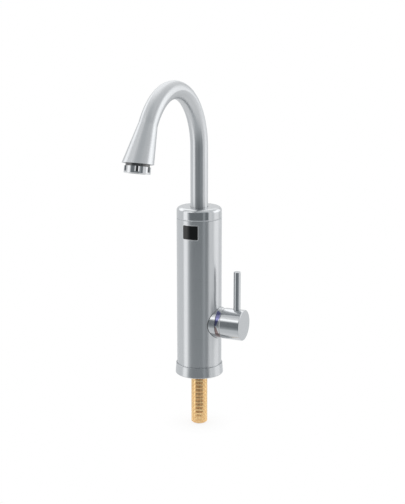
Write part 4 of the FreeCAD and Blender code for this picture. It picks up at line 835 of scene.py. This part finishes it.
class TapFinishSteel(bpy.types.Operator):
    """Brush the steel of the column, the spout and the handle, each piece round its own axis"""

    bl_idname = "tap.finish_steel"
    bl_label = "Brushed steel"

    def execute(self, context):
        looks = context.scene.tap_finishes
        broad = looks.steel_roughness
        fine = looks.fine_roughness
        dress(["body_sleeve", "base_flange"], turned_steel("column_steel", UP, ORIGIN, broad))
        dress(["top_cap"], turned_steel("cap_steel", UP, ORIGIN, fine))
        dress(["handle_hub", "valve_collar"], turned_steel("hub_steel", ACROSS, HANDLE_CENTRE, fine))
        dress(["lever_rod"], turned_steel("lever_steel", UP, LEVER_CENTRE, fine))
        dress(["spout_nozzle"], turned_steel("nozzle_steel", NOZZLE_AXIS, NOZZLE_START, broad))
        dress(["spout_tube"], spout_steel(broad))
        return {"FINISHED"}


class TapFinishChrome(bpy.types.Operator):
    """Plate the aerator"""

    bl_idname = "tap.finish_chrome"
    bl_label = "Polished chrome"

    def execute(self, context):
        dress(["aerator_housing"], fluted_chrome())
        return {"FINISHED"}


class TapFinishMarks(bpy.types.Operator):
    """Colour the temperature ring and the display window"""

    bl_idname = "tap.finish_marks"
    bl_label = "Ring and window"

    def execute(self, context):
        dress(["cold_mark", "hot_mark", "ring_retainer"], temperature_ring())
        dress(nodes_in("black_gloss"), lens_black())
        return {"FINISHED"}


class TapFinishInside(bpy.types.Operator):
    """Give the valve, the heater, the boards and the seals their finishes"""

    bl_idname = "tap.finish_inside"
    bl_label = "Inner pieces"

    def execute(self, context):
        finishes = {
            "brass": turned_brass(),
            "plain_steel": plated_steel(),
            "tank_steel": drawn_steel(),
            "magnet_grey": sintered_magnet(),
            "black_rubber": moulded("black_rubber", RUBBER, 0.72, 0.30),
            "white_plastic": moulded("white_plastic", (0.76, 0.76, 0.73), 0.42, 0.15),
            "black_plastic": moulded("black_plastic", (0.032, 0.032, 0.034), 0.46, 0.25),
            "ceramic_white": moulded("lapped_ceramic", (0.80, 0.79, 0.76), 0.20, 0.05, LAPPED_CELLS),
            "board_green": circuit_board(),
            "reed_glass": capsule_glass(),
        }
        for slot, material in finishes.items():
            dress(nodes_in(slot), material)
        dress(["aerator_washer"], moulded("wet_rubber", RUBBER, 0.26, 0.02, index=2.1))
        return {"FINISHED"}


class TapMakeShank(bpy.types.Operator):
    """Cut the pipe thread on the brass shank"""

    bl_idname = "tap.make_shank"
    bl_label = "Threaded shank"

    def execute(self, context):
        trim = context.scene.tap_trim
        points = shank_points(trim)
        faces = grid_faces(points.shape[0], points.shape[1], True, True)
        shank = put_mesh("shank_thread", points, faces, threaded_brass(trim))
        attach(shank, "tap_body")
        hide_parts("threaded_shank")
        return {"FINISHED"}


class TapMakeBezel(bpy.types.Operator):
    """Lay the thin bright edge round the display window"""

    bl_idname = "tap.make_bezel"
    bl_label = "Window edge"

    def execute(self, context):
        points = bezel_points(context.scene.tap_trim)
        faces = grid_faces(points.shape[0], points.shape[1], True, True)
        bezel = put_mesh("window_edge", points, faces, polished_chrome())
        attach(bezel, "tap_body")
        return {"FINISHED"}


class TapMakeSeals(bpy.types.Operator):
    """Lay the dark seal that paints the shade round the collar's foot, the bead above the base and the slip
    washer behind the hub
    """

    bl_idname = "tap.make_seals"
    bl_label = "Seals, bead and slip washer"

    def execute(self, context):
        trim = context.scene.tap_trim
        seals = (
            # the collar's seal is a dark ring that paints the shade between collar and sleeve
            ("collar_shade_seal", shade_seal_points(trim), "cartridge_seals", "black_rubber"),
            ("seam_bead", bead_points(trim), "base_flange", "brushed_steel"),
            ("slip_washer", washer_points(trim), "bearing_washer", "white_plastic"))
        for name, points, like, slot in seals:
            faces = grid_faces(points.shape[0], points.shape[1], True, True)
            seal = put_mesh(name, points, faces, frame["nodes"][like].data.materials[0])
            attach(seal, "tap_body")
        return {"FINISHED"}


# Stage

SCREEN_RADIUS = 2.6
SCREEN_CENTRE = (0.0, -0.05, 0.15)
SCREEN_COLUMNS = 240
SCREEN_ROWS = 121
POLE = 89.9              # highest rise on the screens, in degrees
ROOM_TINT = (0.90, 1.0, 1.06, 1)
WALL_TINT = (1.0, 1.0, 1.0, 1)
WALL_GLOW = 0.68
ROOM_GLOW = 0.22
DOOR_GLOW = 0.20         # what the doorway adds to the room

# Each lit box on the screens: its brightness, then its start, its end and its soft edge, in degrees round
# from the camera and in degrees of rise
STRIP = (0.50, (276.0, 294.0, 6.0), (-36.0, 28.0, 8.0))
HIGH_BOX = (0.32, (294.0, 324.0, 7.0), (26.0, 52.0, 9.0))
RIGHT_WALL = (0.28, (88.0, 112.0, 10.0), (-22.0, 25.0, 10.0))
RIGHT_BOX = (0.62, (86.0, 132.0, 12.0), (4.0, 30.0, 9.0))
LEFT_REAR_BOX = (0.75, (224.0, 250.0, 8.0), (22.0, 40.0, 7.0))
REAR_BOX = (0.45, (172.0, 212.0, 14.0), (28.0, 62.0, 9.0))

FLOOR_RADIUS = 50.0 * MM
FLOOR_EYE = 0.5 * MM     # radius of the pinhole at the middle of the floor, under the shank's bore
FLOOR_GAP = 0.4 * MM     # air between the shank and the floor
FLOOR_COLUMNS = 96
FLOOR_PAINT = (0.93, 0.93, 0.93, 1)
SHADOW_REACH = 12.0 * MM  # distance from the axis up to which the floor's shadow is deepest
SHADOW_WHITE = 0.85      # share of plain white that the floor shows there

SOFTBOX_SIDE = math.radians(60.0)
SOFTBOX_RISE = math.radians(36.0)
SOFTBOX_REACH = 1.7
SOFTBOX_WIDTH = 1.0
SOFTBOX_HEIGHT = 0.35
SENSOR_WIDTH = 36.0      # width of the camera's film, in millimetres


def ease(value, start, end):
    """Smooth step from 0 at start to 1 at end."""
    share = np.clip((value - start) / (end - start), 0.0, 1.0)
    return share * share * (3.0 - 2.0 * share)


def between(value, start, end, soft):
    """1 from start to end, and 0 past a soft edge outside them."""
    return ease(value, start - soft, start) * (1.0 - ease(value, end, end + soft))


def lit(turn, rise, box):
    """Brightness that a lit box adds."""
    level, sides, rises = box
    return level * between(turn, *sides) * between(rise, *rises)


def screen_glow(side, rise):
    """Brightness of the studio round the tap, by degrees to the side of the camera and of rise.

    White walls that are brighter to the sides and the rear, the lit boxes, and the dark room behind the
    camera with its doorway. The room's left edge is softer low down.
    """
    away = np.abs(side)
    turn = np.mod(side, 360.0)
    glow = WALL_GLOW + 0.17 * ease(away, 30.0, 75.0)
    glow = glow + 0.30 * ease(away, 110.0, 150.0) * ease(rise, 15.0, 40.0)
    glow = glow + 0.10 * (1.0 - ease(rise, -40.0, -22.0)) * ease(away, 50.0, 80.0)
    glow = glow + np.maximum(lit(turn, rise, STRIP), lit(turn, rise, HIGH_BOX))
    glow = glow + 0.10 * between(side, 44.0, 62.0, 10.0)
    for box in (RIGHT_WALL, RIGHT_BOX, LEFT_REAR_BOX, REAR_BOX):
        glow = glow + lit(turn, rise, box)
    sharper = ease(rise, -18.0, -8.0)
    room_left = ease(side, sharper - 62.0, -38.0 - 11.0 * sharper)
    room_right = 1.0 - ease(side, 46.0, 52.0)
    room_foot = ease(rise, -36.0, -20.0)
    ceiling = 20.0 + 10.0 * ease(side, -48.0, -24.0)
    room = room_left * room_right * room_foot * (1.0 - ease(rise, ceiling, ceiling + 9.0))
    doorway = DOOR_GLOW * between(side, 23.0, 28.0, 6.0)
    return glow * (1.0 - room) + (ROOM_GLOW + doorway) * room


def studio_screens(azimuth):
    """Sphere round the tap, hidden from the camera, that glows with the brightness above at each point."""
    side = np.linspace(-180.0, 180.0, SCREEN_COLUMNS, endpoint=False)
    rise = np.linspace(-POLE, POLE, SCREEN_ROWS)
    rise_grid, side_grid = np.meshgrid(rise, side, indexing="ij")
    turn = np.radians(side_grid) + azimuth
    lift = np.radians(rise_grid)
    points = SCREEN_RADIUS * np.stack(
        [np.sin(turn) * np.cos(lift), -np.cos(turn) * np.cos(lift), np.sin(lift)], axis=-1)
    points = points + np.array(SCREEN_CENTRE)
    material, tree = start_material("screen_glow")[:2]
    level = tree.nodes.new("ShaderNodeAttribute")
    level.attribute_name = "glow"
    light = tree.nodes.new("ShaderNodeEmission")
    feed(tree, mixed(tree, level.outputs["Fac"], ROOM_TINT, WALL_TINT), light.inputs["Color"])
    feed(tree, level.outputs["Fac"], light.inputs["Strength"])
    feed(tree, light.outputs["Emission"], tree.nodes["Material Output"].inputs["Surface"])
    faces = grid_faces(SCREEN_ROWS, SCREEN_COLUMNS, False, True)
    screens = put_mesh("studio_screens", points, faces, material)
    glow = screens.data.attributes.new("glow", "FLOAT", "POINT")
    glow.data.foreach_set("value", screen_glow(side_grid, rise_grid).ravel().astype(np.float32))
    screens.visible_camera = False
    screens.visible_shadow = False


def pale_floor():
    """White floor disc under the shank that keeps a faint shadow close to the tap."""
    material, tree, shader = start_material("pale_floor")
    surface(tree, shader, FLOOR_PAINT, 0.9)
    x, y = split(tree, object_point(tree))[:2]
    reach = measure(tree, "LENGTH", join(tree, x, y, 0.0))
    path = tree.nodes.new("ShaderNodeLightPath")
    seen = number(tree, "MAXIMUM", path.outputs["Is Camera Ray"], path.outputs["Is Glossy Ray"])
    seen = number(tree, "MAXIMUM", seen, path.outputs["Is Transmission Ray"])
    pale = remap(tree, reach, SHADOW_REACH, 0.95 * FLOOR_RADIUS, SHADOW_WHITE, 1.0)
    white = number(tree, "MULTIPLY", seen, pale)
    light = tree.nodes.new("ShaderNodeEmission")
    blend = tree.nodes.new("ShaderNodeMixShader")
    feed(tree, white, blend.inputs[0])
    feed(tree, shader.outputs["BSDF"], blend.inputs[1])
    feed(tree, light.outputs["Emission"], blend.inputs[2])
    feed(tree, blend.outputs["Shader"], tree.nodes["Material Output"].inputs["Surface"])
    angle = np.linspace(0.0, 2 * np.pi, FLOOR_COLUMNS, endpoint=False)[None, :]
    rings = np.array([FLOOR_EYE, 0.5 * FLOOR_RADIUS, FLOOR_RADIUS])[:, None]
    level = np.full((len(rings), FLOOR_COLUMNS), SHANK_LOW - FLOOR_GAP)
    points = np.stack([rings * np.cos(angle), rings * np.sin(angle), level], axis=-1)
    floor = put_mesh("pale_floor", points, grid_faces(len(rings), FLOOR_COLUMNS, False, True), material)


def white_world():
    """Plain white surroundings."""
    world = bpy.data.worlds.new("white_world")
    world.use_nodes = True
    background = world.node_tree.nodes["Background"]
    background.inputs["Color"].default_value = (1, 1, 1, 1)
    background.inputs["Strength"].default_value = 1.0
    bpy.context.scene.world = world


def aim(thing, target):
    """Turn a lamp to face a point."""
    away = thing.location - target
    thing.rotation_euler = away.to_track_quat("Z", "Y").to_euler()


def softbox(studio):
    """Soft lamp high on the left."""
    lamp = bpy.data.lights.new("softbox", "AREA")
    lamp.shape = "RECTANGLE"
    lamp.size = SOFTBOX_WIDTH
    lamp.size_y = SOFTBOX_HEIGHT
    lamp.energy = studio.softbox_power
    box = bpy.data.objects.new("softbox", lamp)
    bpy.context.scene.collection.objects.link(box)
    turn = studio.camera_azimuth - SOFTBOX_SIDE
    level = SOFTBOX_REACH * math.cos(SOFTBOX_RISE)
    lift = SOFTBOX_REACH * math.sin(SOFTBOX_RISE)
    box.location = (math.sin(turn) * level, -math.cos(turn) * level, SCREEN_CENTRE[2] + lift)
    aim(box, middle_of("handle_hub"))
    box.visible_camera = False


def photo_camera(studio):
    """Camera at the photograph's place and angle."""
    camera = bpy.data.cameras.new("camera")
    camera.sensor_width = SENSOR_WIDTH
    camera.lens = studio.lens_length
    stand = bpy.data.objects.new("camera", camera)
    turn = studio.camera_azimuth
    stand.location = (
        math.sin(turn) * studio.camera_distance, -math.cos(turn) * studio.camera_distance,
        studio.camera_height)
    stand.rotation_euler = (math.pi / 2 - studio.camera_pitch, 0.0, turn + studio.camera_yaw)
    bpy.context.scene.collection.objects.link(stand)
    bpy.context.scene.camera = stand


class TapSetStage(bpy.types.Operator):
    """Set the floor, the screens, the lamp and the camera"""

    bl_idname = "tap.set_stage"
    bl_label = "Studio"

    def execute(self, context):
        studio = context.scene.tap_studio
        white_world()
        pale_floor()
        studio_screens(studio.camera_azimuth)
        softbox(studio)
        photo_camera(studio)
        context.scene.view_settings.view_transform = "Standard"
        return {"FINISHED"}


class TapPanel(bpy.types.Panel):
    """Lists the steps that dress the tap"""

    bl_idname = "VIEW3D_PT_tap"
    bl_label = "Water heater tap"
    bl_space_type = "VIEW_3D"
    bl_region_type = "UI"
    bl_category = "Tap"

    def draw(self, context):
        layout = self.layout
        for group in (context.scene.tap_finishes, context.scene.tap_trim, context.scene.tap_studio):
            box = layout.box()
            for name in group.__annotations__:
                box.prop(group, name)
        for step in STEPS:
            layout.operator(step.bl_idname)


STEPS = (
    TapFinishSteel,
    TapFinishChrome,
    TapFinishMarks,
    TapFinishInside,
    TapMakeShank,
    TapMakeBezel,
    TapMakeSeals,
    TapSetStage,
)
GROUPS = {"tap_finishes": TapFinishes, "tap_trim": TapTrim, "tap_studio": TapStudio}


def register():
    """Add the properties, the operators and the panel."""
    for name, group in GROUPS.items():
        bpy.utils.register_class(group)
        setattr(bpy.types.Scene, name, bpy.props.PointerProperty(type=group))
    for step in STEPS + (TapPanel,):
        bpy.utils.register_class(step)


def unregister():
    """Take away the panel, the operators and the properties."""
    for step in reversed(STEPS + (TapPanel,)):
        bpy.utils.unregister_class(step)
    for name, group in GROUPS.items():
        delattr(bpy.types.Scene, name)
        bpy.utils.unregister_class(group)


def main():
    """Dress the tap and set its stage."""
    register()
    bpy.ops.tap.finish_steel()
    bpy.ops.tap.finish_chrome()
    bpy.ops.tap.finish_marks()
    bpy.ops.tap.finish_inside()
    bpy.ops.tap.make_shank()
    bpy.ops.tap.make_bezel()
    bpy.ops.tap.make_seals()
    bpy.ops.tap.set_stage()


if __name__ == "__main__":
    main()
